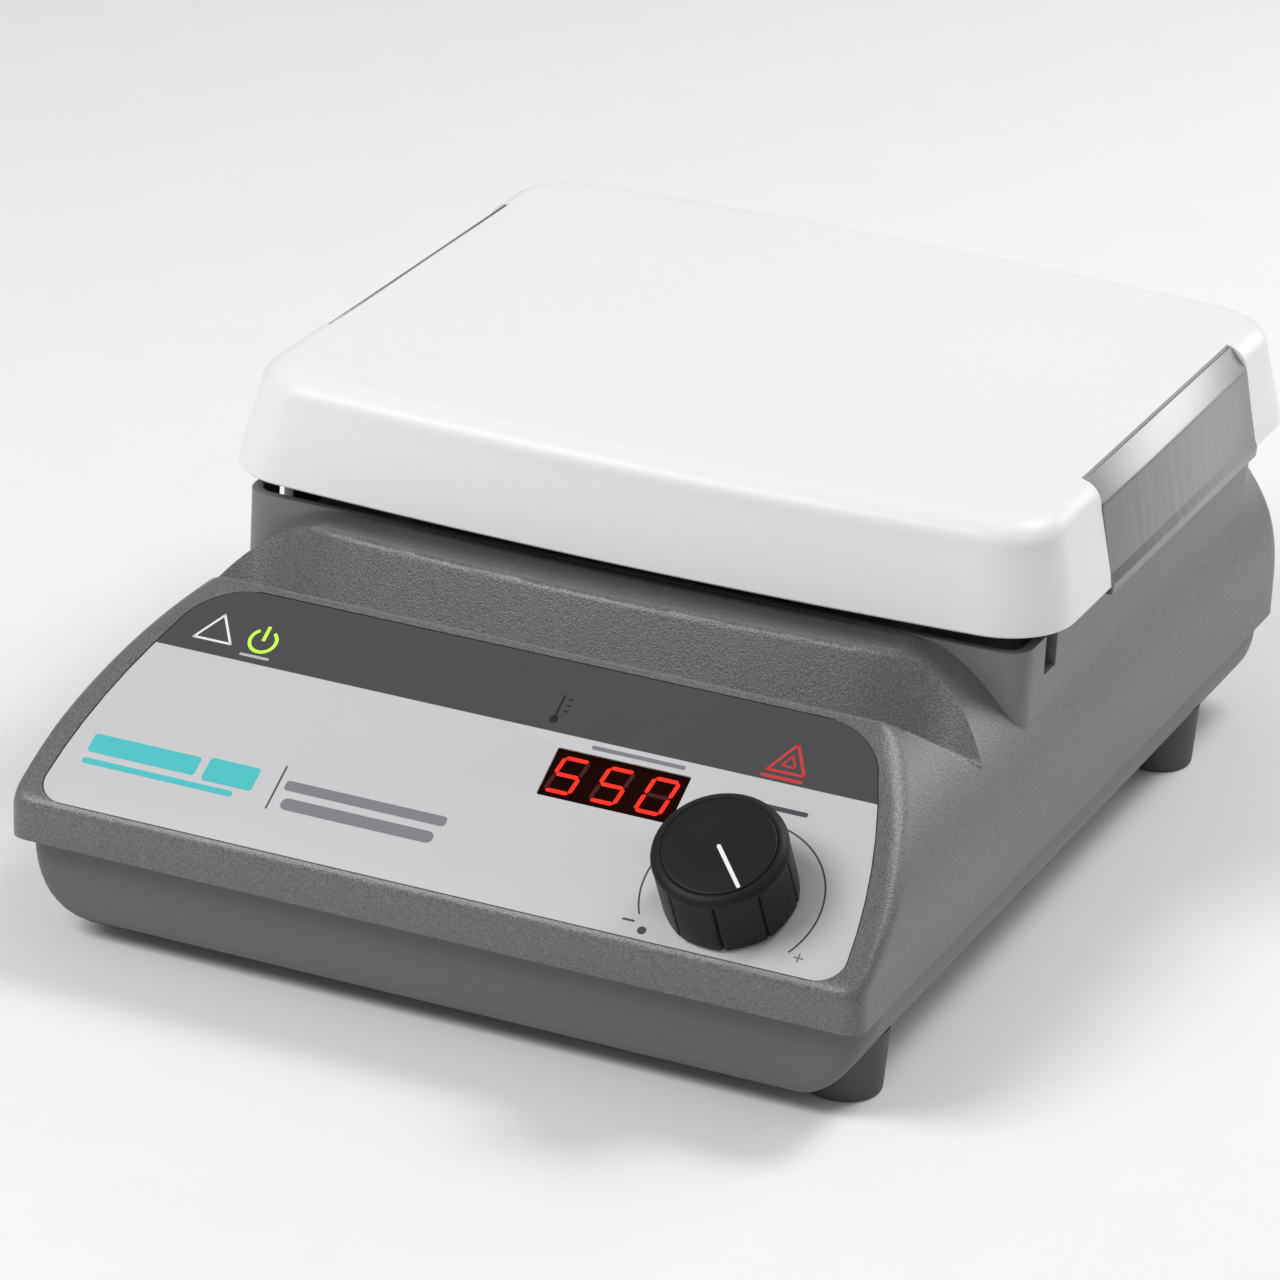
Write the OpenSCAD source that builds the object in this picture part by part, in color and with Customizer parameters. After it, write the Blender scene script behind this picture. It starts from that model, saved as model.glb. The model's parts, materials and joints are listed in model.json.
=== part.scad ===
// Laboratory hotplate: ceramic top, one heat knob, three-digit display, moulded housing.
// X is to the right, Y to the back, Z up. The origin is on the bench, in the middle of the footprint.

/* [Housing] */
// Width over the widest part of the housing
body_w = 203.4; // [200:0.2:206]
// Foremost point of the front lip
front_y = -135.5; // [-136.5:0.1:-135]
// Back face of the housing
rear_y = 136.9; // [136:0.1:138]
// Height of the flat deck under the top plate
deck_z = 73.9; // [73:0.1:75]
// Height of the joint between the upper and the lower housing
part_z = 25; // [24:0.1:26]
// Height of the underside above the bench
floor_z = 4.8; // [4:0.1:6]
// Wall thickness of the mouldings
wall = 2.8; // [2.4:0.1:3.2]

/* [Control panel] */
// Angle of the panel above the horizontal
panel_tilt = 31; // [30:0.5:32]
// Y of the label's front edge
panel_y = -133.3; // [-133.8:0.1:-132.8]
// Z of the label's front edge
panel_z = 35.7; // [35:0.1:36]
// Length of the label up the slope
label_l = 65.3; // [64:0.1:66]
// Half the width of the label at its front edge
label_half = 95; // [93:0.1:96]

/* [Knob and display] */
// Diameter of the heat knob
knob_d = 30; // [28:0.5:30]
// Height of the heat knob
knob_h = 17.4; // [16:0.1:19]
// X of the knob's axis
knob_x = 64.8; // [64:0.1:67]
// Distance of the knob's axis up the slope
knob_v = 15.8; // [15:0.1:17]
// Width of the display window
window_w = 31.4; // [31:0.1:33]
// Height of the display window
window_h = 13; // [12:0.1:14]

/* [Top plate] */
// Width of the ceramic top over its lower rim
plate_w = 204.2; // [202:0.2:206]
// Front of the lower rim, in the middle
plate_front = -40.1; // [-41:0.1:-39]
// Back of the lower rim, in the middle
plate_back = 139.8; // [139:0.1:141]
// Height of the lower rim
plate_rim_z = 77.4; // [77:0.1:79]
// Height of the working surface
plate_top_z = 102.1; // [101:0.1:104]
// Thickness of the ceramic
plate_t = 4; // [3.5:0.1:5]

/* [Pedestal] */
// Width of the pedestal ring
ring_w = 191.4; // [190:0.2:192]
// Front face of the pedestal ring
ring_front = -33; // [-34:0.1:-32]
// Back face of the pedestal ring
ring_back = 124.7; // [123:0.1:125]
// Height of the pedestal ring's side walls
ring_top_z = 76.6; // [76:0.1:77]

/* [Feet and inlet] */
// Radius of a foot at its top
foot_r = 9.5; // [9:0.1:10]
// Half the distance between the left and right feet
foot_x = 88.4; // [87:0.1:89]
// Y of the front feet
foot_front = -108.3; // [-110:0.1:-107]
// Y of the rear feet
foot_rear = 89.8; // [88:0.1:92]
// X of the mains inlet on the back
inlet_x = 50; // [40:1:55]

/* [Hidden] */

$fn = 48;
over = 1;                              // how far a cutter runs past the face that it cuts
arc_steps = 6;                         // straight steps in each rounded corner of an outline

half_w = body_w / 2;
shoulder_start = 68.4;                 // half width of the flat part of the deck
shoulder_base = 35.2;                  // height where the side turns vertical
shoulder_power = 1.7;                  // 2 would be an ellipse, lower is flatter
skin = 0.5;                            // thickness of the label
recess = 0.6;                          // depth of the recess that holds the label
label_r = 10;                          // radius of the label's upper corners
label_front_r = 6;                     // radius of the label's lower corners
board_h = -11.8;                       // top of the control board, measured from the panel face
board_t = 1.6;                         // thickness of both circuit boards
shaft_r = 3;                           // potentiometer shaft
bush_r = 3.5;                          // threaded bush around that shaft
foot_h = 15.2;                         // height of a foot, most of it inside the lower housing
led_x = [-62.6, 63.1];                 // power light, hot top light
led_v = 52.9;
display_x = 29;
display_v = 36.4;
pan_z = 79;                            // underside of the heat shield pan
pan_rim_z = 97.6;                      // top of the pan's flange
standoff_x = 62;
standoff_y = [-15, 100];
lead_hole = [70, 24];                  // opening in the deck for the heater's leads
lead_y = 44;                           // middle of that opening
inlet_z = 44;                          // middle of the mains inlet
power_z = 12;                          // underside of the power board

housing_grey = [0.40, 0.40, 0.42];
smooth_grey = [0.49, 0.49, 0.50];
steel = [0.72, 0.72, 0.72];
board_green = [0.10, 0.34, 0.20];

// ---- outlines -------------------------------------------------------------------------------

function unit(v) = v / norm(v);
function normal(a, b) = let (d = unit(b - a)) [-d.y, d.x];
function wrap(i, n) = (i + n) % n;
function turn(a, b, c) = let (u = b - a, v = c - b) u.x * v.y - u.y * v.x;

// A corner of a counter-clockwise outline, moved inwards by t.
function moved(a, b, c, t) =
    let (m = normal(a, b), n = normal(b, c)) b + (m + n) * t / (1 + m * n);

// The arc that rounds corner b between a and c.
function arc(a, b, c, r) =
    let (u = unit(a - b), v = unit(c - b), half = acos(u * v) / 2)
    let (reach = r / tan(half), mid = b + unit(u + v) * r / sin(half))
    let (from = b + u * reach - mid, to = b + v * reach - mid)
    let (start = atan2(from.y, from.x), raw = atan2(to.y, to.x) - start)
    let (sweep = raw > 180 ? raw - 360 : raw < -180 ? raw + 360 : raw)
    [for (k = [0:arc_steps]) let (a = start + sweep * k / arc_steps) mid + r * [cos(a), sin(a)]];

// An outline of [x, y, radius] corners, counter-clockwise, shrunk by t and rounded.
function outline(corners, t) =
    let (n = len(corners), p = [for (c = corners) [c.x, c.y]])
    let (q = [for (i = [0:n - 1]) moved(p[wrap(i - 1, n)], p[i], p[wrap(i + 1, n)], t)])
    [for (i = [0:n - 1])
        let (a = q[wrap(i - 1, n)], b = q[i], c = q[wrap(i + 1, n)])
        let (r = corners[i].z == 0 ? 0 : turn(a, b, c) > 0 ? max(corners[i].z - t, 0) : corners[i].z + t)
        each (r < 0.05 ? [b] : arc(a, b, c, r))];

module rounded_box(w, d, h, r) {
    translate([-w / 2 + r, -d / 2, 0]) cube([w - 2 * r, d, h]);
    translate([-w / 2, -d / 2 + r, 0]) cube([w, d - 2 * r, h]);
    for (x = [-1, 1]) for (y = [-1, 1]) {
        translate([x * (w / 2 - r), y * (d / 2 - r), 0]) cylinder(h = h, r = r);
    }
}

module along_x(w) { translate([-w / 2, 0, 0]) rotate([90, 0, 90]) linear_extrude(w) children(); }
module along_y(y0, y1) { translate([0, y1, 0]) rotate([90, 0, 0]) linear_extrude(y1 - y0) children(); }

// Puts children on the control panel: x across, v up the slope, h out of the face.
module on_panel(x, v, h) {
    translate([0, panel_y, panel_z]) rotate([panel_tilt, 0, 0]) translate([x, v, h]) children();
}

module at_feet() {
    for (x = [-foot_x, foot_x]) for (y = [foot_front, foot_rear]) translate([x, y, 0]) children();
}

// ---- upper housing --------------------------------------------------------------------------

ridge_y = panel_y + (label_l + 2.6) * cos(panel_tilt);
ridge_z = panel_z + (label_l + 2.6) * sin(panel_tilt);

// Side view of the upper housing as [y, z, radius] corners, counter-clockwise from the lip's lower edge.
lip_z = 31.4;                          // where the lip's face starts to lean in
function side_view(low) = [
    [front_y + 1.4 * (lip_z - low) / (lip_z - part_z), low, 0], [rear_y, low, 0],
    [rear_y, deck_z, 12.5], [-45, deck_z, 1.5], [-45.6, 54.8, 2], [-53.4, 53.8, 5],
    [ridge_y, ridge_z, 2.5], [front_y, panel_z - (panel_y - front_y) * tan(panel_tilt), 4],
    [front_y, lip_z, 5]];

function shoulder(t) = [for (i = [0:20]) let (a = 4.5 * i)
    [shoulder_start + (half_w - shoulder_start - t) * pow(cos(a), 2 / shoulder_power),
     shoulder_base + (deck_z - shoulder_base - t) * pow(sin(a), 2 / shoulder_power)]];
function mirrored(p) = [for (i = [len(p) - 1:-1:0]) [-p[i].x, p[i].y]];

// The outside of the upper housing, shrunk by t, from height low upwards.
module housing_form(t, low) {
    right = shoulder(t);
    plan = [[-half_w, front_y, 6], [half_w, front_y, 6], [half_w, rear_y, 7], [-half_w, rear_y, 7]];
    intersection() {
        along_y(front_y - over, rear_y + over)
            polygon(concat([[-half_w + t, low], [half_w - t, low]], right, mirrored(right)));
        along_x(body_w + 2) polygon(outline(side_view(low), t));
        linear_extrude(deck_z + over) polygon(outline(plan, t));
    }
}

module at_board_corners(h) {
    for (x = [-74, 78]) for (v = [30, 56]) on_panel(x, v, h) children();
}

module at_standoffs(z) {
    for (x = [-standoff_x, standoff_x]) for (y = standoff_y) translate([x, y, z]) children();
}

module upper_housing() {
    color(housing_grey) difference() {
        housing_form(0, part_z);
        difference() {
            housing_form(wall, part_z - 10);
            at_board_corners(board_h) cylinder(h = -board_h, r = 3.2);
            at_feet() translate([0, 0, part_z - 11]) cylinder(h = 60, r = 4.6);
        }
        at_feet() translate([0, 0, part_z - 12]) cylinder(h = 12, r = 5);
        at_feet() translate([0, 0, part_z - over]) cylinder(h = 19, r = 1.6);
        at_board_corners(board_h - over) cylinder(h = 7, r = 1.2);
        on_panel(0, 0, -recess) label_form(0.25, recess + over);
        on_panel(display_x, display_v, -wall - over) translate([-17, -8, 0]) cube([34, 16, wall + 2 * over]);
        on_panel(knob_x, knob_v, -wall - over) cylinder(h = wall + 2 * over, r = bush_r + 0.2);
        for (x = led_x) on_panel(x, led_v, -wall - over) cylinder(h = wall + 2 * over, r = 4.4);
        at_standoffs(deck_z - 10) cylinder(h = 14, r = 2.2);
        translate([-lead_hole.x / 2, lead_y - lead_hole.y / 2, deck_z - 10])
            cube([lead_hole.x, lead_hole.y, 20]);
        translate([inlet_x, rear_y, inlet_z]) rounded_slot(28, 31.4, 14);
        for (x = [-20, 20]) translate([inlet_x + x, rear_y - 14, inlet_z]) rotate([-90, 0, 0])
            cylinder(h = 16, r = 1.6);
    }
}

// A rectangular hole through the back wall, centred on the origin.
module rounded_slot(w, h, d) {
    translate([-w / 2, -d, -h / 2]) cube([w, d + over, h]);
}

// ---- lower housing --------------------------------------------------------------------------

module tub_form(t) {
    top_half = half_w - 1.2;
    flat_half = 84;
    rise = part_z - floor_z;
    side = [for (i = [0:16]) let (a = 90 - 90 * i / 16)
        [flat_half + (top_half - flat_half - t) * pow(cos(a), 2 / shoulder_power),
         part_z - (rise - t) * pow(sin(a), 2 / shoulder_power)]];
    profile = [[front_y + 6.4, part_z + 10, 0], [front_y + 7.8, floor_z, 2.5],
               [rear_y - 9, floor_z, 16], [rear_y - 4.5, part_z + 10, 0]];
    plan = [[-half_w, front_y + 4.4, 14], [half_w, front_y + 4.4, 14], [half_w, rear_y - 3, 16],
            [-half_w, rear_y - 3, 16]];
    intersection() {
        along_y(front_y - over, rear_y + over)
            polygon(concat(side, [[top_half - t, part_z + over], [-top_half + t, part_z + over]],
                           mirrored(side)));
        along_x(body_w + 2) polygon(outline(profile, t));
        linear_extrude(part_z + over) polygon(outline(plan, t));
    }
}

// The four posts that carry the power board.
module at_board_posts(z) {
    for (x = [-60, 60]) for (y = [-20, 80]) translate([x, y, z]) children();
}

module lower_housing() {
    color(housing_grey) difference() {
        union() {
            difference() {
                tub_form(0);
                translate([0, 0, 0.01]) tub_form(wall);
            }
            intersection() {
                tub_form(0.5);
                union() {
                    at_feet() cylinder(h = part_z - 0.1, r = foot_r + 2);
                    at_board_posts(0) cylinder(h = power_z, r = 3.4);
                }
            }
        }
        translate([-half_w, front_y, part_z]) cube([body_w, rear_y - front_y, 10]);
        at_feet() translate([0, 0, -over]) cylinder(h = foot_h + over, r = foot_r + 0.1);
        at_feet() cylinder(h = 40, r = 2.2);
        at_board_posts(floor_z + 2) cylinder(h = 10, r = 1.3);
        for (i = [-5:5]) translate([i * 7 - 1.5, -96, floor_z - over]) cube([3, 46, wall + 2 * over]);
        for (i = [-5:5]) translate([i * 7 - 1.5, 96, floor_z - over]) cube([3, 18, wall + 2 * over]);
    }
}

module foot() {
    difference() {
        cylinder(h = foot_h, r1 = foot_r - 0.8, r2 = foot_r);
        translate([0, 0, -over]) cylinder(h = 9 + over, r = 4.2);
        cylinder(h = 20, r = 2.3);
    }
}
module foot_front_left() { color([0.22, 0.22, 0.23]) translate([-foot_x, foot_front, 0]) foot(); }
module foot_front_right() { color([0.22, 0.22, 0.23]) translate([foot_x, foot_front, 0]) foot(); }
module foot_rear_left() { color([0.22, 0.22, 0.23]) translate([-foot_x, foot_rear, 0]) foot(); }
module foot_rear_right() { color([0.22, 0.22, 0.23]) translate([foot_x, foot_rear, 0]) foot(); }

// A pan head screw, head down, tip up; the head's seat is at z = 0.
module screw(length, r, head_r, head_h) {
    difference() {
        union() {
            translate([0, 0, -0.01]) cylinder(h = length + 0.01, r = r);
            translate([0, 0, -head_h]) cylinder(h = head_h, r = head_r);
        }
        for (a = [0, 90]) rotate([0, 0, a]) translate([-head_r * 0.6, -0.4, -head_h - over])
            cube([head_r * 1.2, 0.8, over + head_h * 0.6]);
    }
}

module housing_screws() { color(steel) at_feet() translate([0, 0, 9]) screw(32, 1.55, 3.8, 2.4); }

// ---- control panel --------------------------------------------------------------------------

// Half the width of the label at distance v up the slope.
function label_edge(v) =
    let (top = label_l - label_r)
    v < label_front_r ? label_side(label_front_r) - label_front_r
        + sqrt(pow(label_front_r, 2) - pow(label_front_r - v, 2)) :
    v > top ? label_side(v) - label_r + sqrt(max(pow(label_r, 2) - pow(v - top, 2), 0)) : label_side(v);
function label_side(v) = label_half - 0.023 * v - 0.00352 * v * v;

module label_form(grow, h) {
    steps = [0, 0.3, 1.2, 2.6, 4.3, 6, 14, 22, 30, 38, 46, label_l - label_r, label_l - 9, label_l - 6.4,
             label_l - 4, label_l - 2, label_l - 0.7, label_l - 0.15, label_l];
    last = len(steps) - 1;
    right = [for (v = steps) [label_edge(v) + grow, v == 0 ? -grow : v == label_l ? v + grow : v]];
    linear_extrude(h) polygon(concat(right, mirrored(right)));
}

module panel_label() {
    color([0.82, 0.82, 0.83]) difference() {
        on_panel(0, 0, -recess) label_form(0, skin);
        on_panel(display_x - window_w / 2, display_v - window_h / 2, -2) cube([window_w, window_h, 4]);
        on_panel(knob_x, knob_v, -2) cylinder(h = 4, r = 7.4);
    }
}

module display_window() {
    color([0.16, 0.02, 0.02]) on_panel(display_x, display_v, -recess - 2.2) translate([-16.8, -7.8, 0])
        cube([33.6, 15.6, 2.2]);
}

module display_module() {
    color([0.12, 0.10, 0.10]) on_panel(display_x, display_v, board_h) difference() {
        translate([-15.05, -7, 0]) cube([30.1, 14, 8]);
        for (x = [-10.8, 0, 10.8]) translate([x - 3.6, -5, 7.6]) cube([7.2, 10, over]);
    }
}

module light_pipe(x) {
    on_panel(x, led_v, board_h) union() {
        cylinder(h = -board_h - recess, r = 4.3);
        cylinder(h = 3, r = 5.2);
    }
}
module power_light_pipe() { color([0.75, 0.92, 0.35]) light_pipe(led_x[0]); }
module hot_top_light_pipe() { color([0.85, 0.30, 0.25]) light_pipe(led_x[1]); }

module control_board() {
    color(board_green) difference() {
        on_panel(0, 0, board_h - board_t) translate([-80, 6, 0]) cube([162, 53, board_t]);
        at_board_corners(board_h - 3) cylinder(h = 5, r = 1.6);
    }
}

module control_board_screws() {
    color(steel) at_board_corners(board_h - board_t) screw(6, 1.2, 2.8, 1.8);
}

module potentiometer() {
    color([0.25, 0.25, 0.27]) difference() {
        union() {
            on_panel(knob_x, knob_v, board_h) cylinder(h = -board_h - wall - 0.3, r = 8.4);
            on_panel(knob_x, knob_v, board_h) cylinder(h = -board_h + 3, r = bush_r);
        }
        on_panel(knob_x, knob_v, board_h + 2) cylinder(h = 30, r = shaft_r + 0.05);
    }
}

module potentiometer_nut() {
    color(steel) on_panel(knob_x, knob_v, -recess) difference() {
        cylinder(h = 2.2, r = 5.8, $fn = 6);
        translate([0, 0, -over]) cylinder(h = 5, r = bush_r);
    }
}

module potentiometer_shaft() {
    color(steel) on_panel(knob_x, knob_v, board_h + 2.1) difference() {
        cylinder(h = 24.5, r = shaft_r);
        translate([1.6, -4, 15.6]) cube([4, 8, 12]);
    }
}

disc_r = 12.4;                         // flat disc on top of the knob
module heat_knob() {
    shoulder_h = knob_h - 1.5;
    color([0.07, 0.07, 0.08]) on_panel(knob_x, knob_v, 0.5) difference() {
        union() {
            cylinder(h = shoulder_h, r = knob_d / 2);
            translate([0, 0, shoulder_h]) cylinder(h = 1.5, r1 = knob_d / 2, r2 = disc_r);
        }
        for (i = [0:8]) rotate([0, 0, 15 + 40 * i]) translate([-0.6, -knob_d / 2 - over, -over])
            cube([1.2, over + 0.7, knob_h - 1.3]);
        difference() {
            translate([0, 0, -over]) cylinder(h = 11 + over, r = knob_d / 2 - 3.2);
            translate([0, 0, 3.4]) cylinder(h = 12, r = 5.4);
        }
        translate([0, 0, -over]) cylinder(h = 15.6, r = shaft_r + 0.01);
        rotate([0, 0, pointer_angle]) translate([-0.5, -12.2, knob_h - 0.5]) cube([1, 12.6, over]);
    }
}

pointer_angle = 42;                    // the pointer's rest direction, from straight down to the right
module knob_pointer() {
    color("white") on_panel(knob_x, knob_v, knob_h) rotate([0, 0, pointer_angle])
        translate([-0.49, -12.19, 0]) cube([0.98, 12.58, 0.5]);
}

// ---- pedestal, pan and heater ---------------------------------------------------------------

ring_mid = (ring_front + ring_back) / 2;
ring_d = ring_back - ring_front;
ring_t = 2.4;
ring_r = 6;
ring_notch = -18.6;                    // front end of the notch in each side wall

// The ring stops short of the top plate in front of the notches.
module pedestal_ring() {
    color(smooth_grey) difference() {
        translate([0, ring_mid, 40]) rounded_box(ring_w, ring_d, ring_top_z - 40, ring_r);
        translate([0, ring_mid, 30])
            rounded_box(ring_w - 2 * ring_t, ring_d - 2 * ring_t, 60, ring_r - ring_t);
        housing_form(-0.02, part_z);
        translate([-half_w, ring_front - over, 30]) cube([body_w, 170, 11]);
        translate([-half_w, ring_front - over, ring_top_z - 3.5])
            cube([body_w, ring_notch - ring_front + over, 10]);
        for (s = [-1, 1]) translate([s * ring_w / 2 - 5, ring_notch, 63.6]) cube([10, 7.2, 30]);
    }
}

pan_w = 176;
pan_d = 134;
pan_mid = lead_y;
pan_t = 1;

module heat_shield_pan() {
    color([0.06, 0.06, 0.06]) difference() {
        union() {
            translate([0, pan_mid, pan_z]) rounded_box(pan_w, pan_d, pan_rim_z - pan_z, 9);
            translate([0, pan_mid, pan_rim_z - pan_t]) rounded_box(pan_w + 8, pan_d + 8, pan_t, 13);
        }
        translate([0, pan_mid, pan_z + pan_t]) rounded_box(pan_w - 2 * pan_t, pan_d - 2 * pan_t, 30, 8);
        at_standoffs(pan_z - over) cylinder(h = 4, r = 2);
        translate([-20, lead_y - 8, pan_z - over]) cube([40, 16, 4]);
        translate([30, lead_y, pan_z - over]) cylinder(h = 4, r = 2);
    }
}

module pan_standoffs() {
    color(steel) at_standoffs(deck_z) difference() {
        cylinder(h = pan_z - deck_z, r = 4.5);
        translate([0, 0, -over]) cylinder(h = 30, r = 2);
    }
}

module pan_screws() { color(steel) at_standoffs(deck_z - wall) screw(13, 2, 3.6, 2); }

insulation_top = 94;
module insulation_pad() {
    color([0.93, 0.91, 0.86]) difference() {
        translate([0, pan_mid, pan_z + pan_t])
            rounded_box(pan_w - 3, pan_d - 3, insulation_top - pan_z - pan_t, 7.2);
        at_standoffs(pan_z) cylinder(h = 7, r = 5);
        translate([-20, lead_y - 8, pan_z - over]) cube([40, 16, 30]);
        translate([30, lead_y, pan_z - over]) cylinder(h = 6, r = 6);
    }
}

module mica_support() {
    color([0.72, 0.66, 0.52]) difference() {
        translate([0, pan_mid, insulation_top]) rounded_box(pan_w - 8, pan_d - 8, 0.8, 6);
        translate([0, lead_y, insulation_top - over]) cylinder(h = 4, r = 3);
        for (x = [-9, 9]) translate([x, lead_y + 6, insulation_top - over]) cylinder(h = 4, r = 1.4);
    }
}

// One ribbon, folded to and fro, that leaves the middle free for the temperature probe.
element_z = insulation_top + 0.8;
element_pitch = 12;
module heating_element() {
    strip = 4;
    run = 122;
    color([0.70, 0.62, 0.52]) translate([0, pan_mid, element_z]) {
        for (i = [0:12]) {
            x = (i - 6) * element_pitch + (i == 6 ? 5 : 0);
            translate([x - strip / 2, -run / 2, 0]) cube([strip, run, 0.8]);
        }
        for (i = [0:11]) {
            x = (i - 6) * element_pitch + (i == 6 ? 5 : 0);
            next = (i - 5) * element_pitch + (i == 5 ? 5 : 0);
            translate([x - strip / 2, i % 2 == 0 ? run / 2 - strip : -run / 2, 0])
                cube([next - x + strip, strip, 0.8]);
        }
    }
}

plate_under = plate_top_z - plate_t;
module plate_seal() {
    color([0.75, 0.30, 0.22]) difference() {
        translate([0, pan_mid, pan_rim_z]) rounded_box(pan_w + 6, pan_d + 6, plate_under - pan_rim_z, 12);
        translate([0, pan_mid, pan_rim_z - over]) rounded_box(pan_w - 1, pan_d - 1, 4, 8);
    }
}

plate_bow = 3.4;                       // how far the front and back edges bulge in the middle
plate_corner = 17.8;
function bulge(x, half) = plate_bow * (1 - pow(x / half, 2));
module plate_plan(inset) {
    half = plate_w / 2 - inset;
    y0 = plate_front + plate_bow + inset;
    y1 = plate_back - plate_bow - inset;
    r = plate_corner - inset / 2;
    flat = half - r;
    front = [for (i = [-8:8]) let (x = flat * i / 8) [x, y0 - bulge(x, flat)]];
    back = [for (i = [8:-1:-8]) let (x = flat * i / 8) [x, y1 + bulge(x, flat)]];
    corner = [for (k = [1:6]) let (a = 90 * k / 7) r * [sin(a), cos(a)]];
    right_front = [for (p = corner) [flat + p.x, y0 + r - p.y]];
    right_back = [for (i = [5:-1:0]) [flat + corner[i].x, y1 - r + corner[i].y]];
    left_back = [for (p = corner) [-flat - p.x, y1 - r + p.y]];
    left_front = [for (i = [5:-1:0]) [-flat - corner[i].x, y0 + r - corner[i].y]];
    polygon(concat(front, right_front, [[half, y0 + r], [half, y1 - r]], right_back, back,
                   left_back, [[-half, y1 - r], [-half, y0 + r]], left_front));
}

plate_draft = 4;                       // how far the skirt leans in over its height
plate_edge_r = 6;                      // radius between the skirt and the working surface
module plate_form(t) {
    rim = plate_rim_z - (t > 0 ? over : 0);
    top = plate_top_z - t;
    turn_z = plate_top_z - plate_edge_r;
    hull() {
        translate([0, 0, rim]) linear_extrude(0.02) plate_plan(t);
        for (k = [0:3]) let (a = 30 * k, r = plate_edge_r - t)
            translate([0, 0, turn_z + r * sin(a) - 0.02]) linear_extrude(0.02)
                plate_plan(plate_draft + t + r * (1 - cos(a)));
    }
}

// Steel sheet on each side of the plate: its outer face as [x, z] corners, and where it starts and ends.
shield_y = [5, 103];
shield_t = 1;
shield_face = [[plate_w / 2 + 0.1, plate_rim_z - 0.4], [plate_w / 2 - 3.7, plate_top_z - 5.4],
               [plate_w / 2 - 8.4, plate_top_z - 0.1]];

// The outer face moved inwards by t.
function shield_line(t) =
    let (a = shield_face[0], b = shield_face[1], c = shield_face[2])
    [a + normal(a, b) * t, moved(a, b, c, t), c + normal(b, c) * t];

module top_plate() {
    inner = shield_line(shield_t + 0.1);
    far = plate_w / 2 + 10;
    color([0.95, 0.95, 0.95]) difference() {
        plate_form(0);
        plate_form(plate_t);
        for (s = [0, 1]) mirror([s, 0, 0]) along_y(shield_y[0] - 0.3, shield_y[1] + 0.3)
            polygon([[far, plate_rim_z - 5], [far, plate_top_z + 5], inner[2] + [-0.1, 5],
                     inner[2] + [-0.1, 0], inner[1], inner[0], inner[0] - [0, 5]]);
    }
}

module side_shield() {
    outer = shield_line(0);
    inner = shield_line(shield_t);
    hem = outer[0] + [0.4, -0.1];
    color(steel) along_y(shield_y[0], shield_y[1]) {
        polygon([inner[0], hem + [-4.4, -0.2], hem + [-4.4, -1.2], hem + [-0.8, -1.2], hem + [0, -0.4],
                 hem + [0, 1.6], outer[0] + [-0.6, 4], outer[1], outer[2], inner[2], inner[1]]);
    }
}
module side_shield_left() { mirror([1, 0, 0]) side_shield(); }
module side_shield_right() { side_shield(); }

module temperature_probe() {
    color(steel) union() {
        translate([0, lead_y, plate_under - 7]) cylinder(h = 7, r = 2);
        translate([0, lead_y, board_top]) cylinder(h = plate_under - board_top - 2, r = 1.2);
    }
}

module earth_stud() {
    color([0.80, 0.68, 0.30]) union() {
        translate([30, lead_y, pan_z - 9]) cylinder(h = 12, r = 2);
        translate([30, lead_y, pan_z - 3]) cylinder(h = 3, r = 4, $fn = 6);
        translate([30, lead_y, pan_z + pan_t]) cylinder(h = 3, r = 4, $fn = 6);
    }
}

// ---- electrics ------------------------------------------------------------------------------

module power_board() {
    color(board_green) difference() {
        translate([-70, -30, power_z]) cube([140, 120, board_t]);
        at_board_posts(power_z - over) cylinder(h = 4, r = 1.7);
    }
}

module power_board_screws() {
    color(steel) at_board_posts(power_z + board_t) rotate([180, 0, 0]) screw(6.6, 1.3, 2.6, 1.8);
}

board_top = power_z + board_t;
module power_transformer() {
    color([0.55, 0.48, 0.20]) union() {
        translate([-52, 20, board_top]) cube([34, 42, 24]);
        translate([-56, 30, board_top + 4]) cube([42, 22, 16]);
    }
}

module triac_heat_sink() {
    color([0.75, 0.75, 0.77]) translate([20, -22, board_top]) {
        cube([3, 40, 34]);
        for (i = [0:6]) translate([3, i * 6, 0]) cube([16, 2, 34]);
    }
}

module triac() {
    color([0.10, 0.10, 0.10]) union() {
        translate([15.4, -8, board_top + 12]) cube([4.6, 10, 15]);
        for (y = [-6.5, -3.4, -0.3]) translate([17, y, board_top]) cube([0.8, 1, 12.4]);
    }
}

module terminal_block() {
    color([0.20, 0.45, 0.30]) difference() {
        translate([20, 40, board_top]) cube([12, 40, 14]);
        for (i = [0:3]) translate([26, 45 + i * 10, board_top + 8]) cylinder(h = 10, r = 2.4);
        for (i = [0:3]) for (x = [19, 27]) translate([x, 43.4 + i * 10, board_top + 2])
            cube([6, 3.2, 3.6]);
    }
}

// A round wire of radius r through the points, with eight sides.
module wire(points, r) {
    n = len(points);
    sides = 8;
    way = [for (i = [0:n - 1]) unit(points[min(i + 1, n - 1)] - points[max(i - 1, 0)])];
    ring = [for (i = [0:n - 1])
        let (across = unit(cross(way[i], [0.31, 0.9, 0.3])), up = cross(way[i], across))
        for (k = [0:sides - 1]) let (a = 360 * k / sides) points[i] + r * (cos(a) * across + sin(a) * up)];
    skin_faces = [for (i = [0:n - 2]) for (k = [0:sides - 1])
        let (a = i * sides + k, b = i * sides + (k + 1) % sides)
        each [[a, b, b + sides], [a, b + sides, a + sides]]];
    ends = [[for (k = [sides - 1:-1:0]) k], [for (k = [0:sides - 1]) (n - 1) * sides + k]];
    polyhedron(ring, concat(skin_faces, ends));
}

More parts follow.
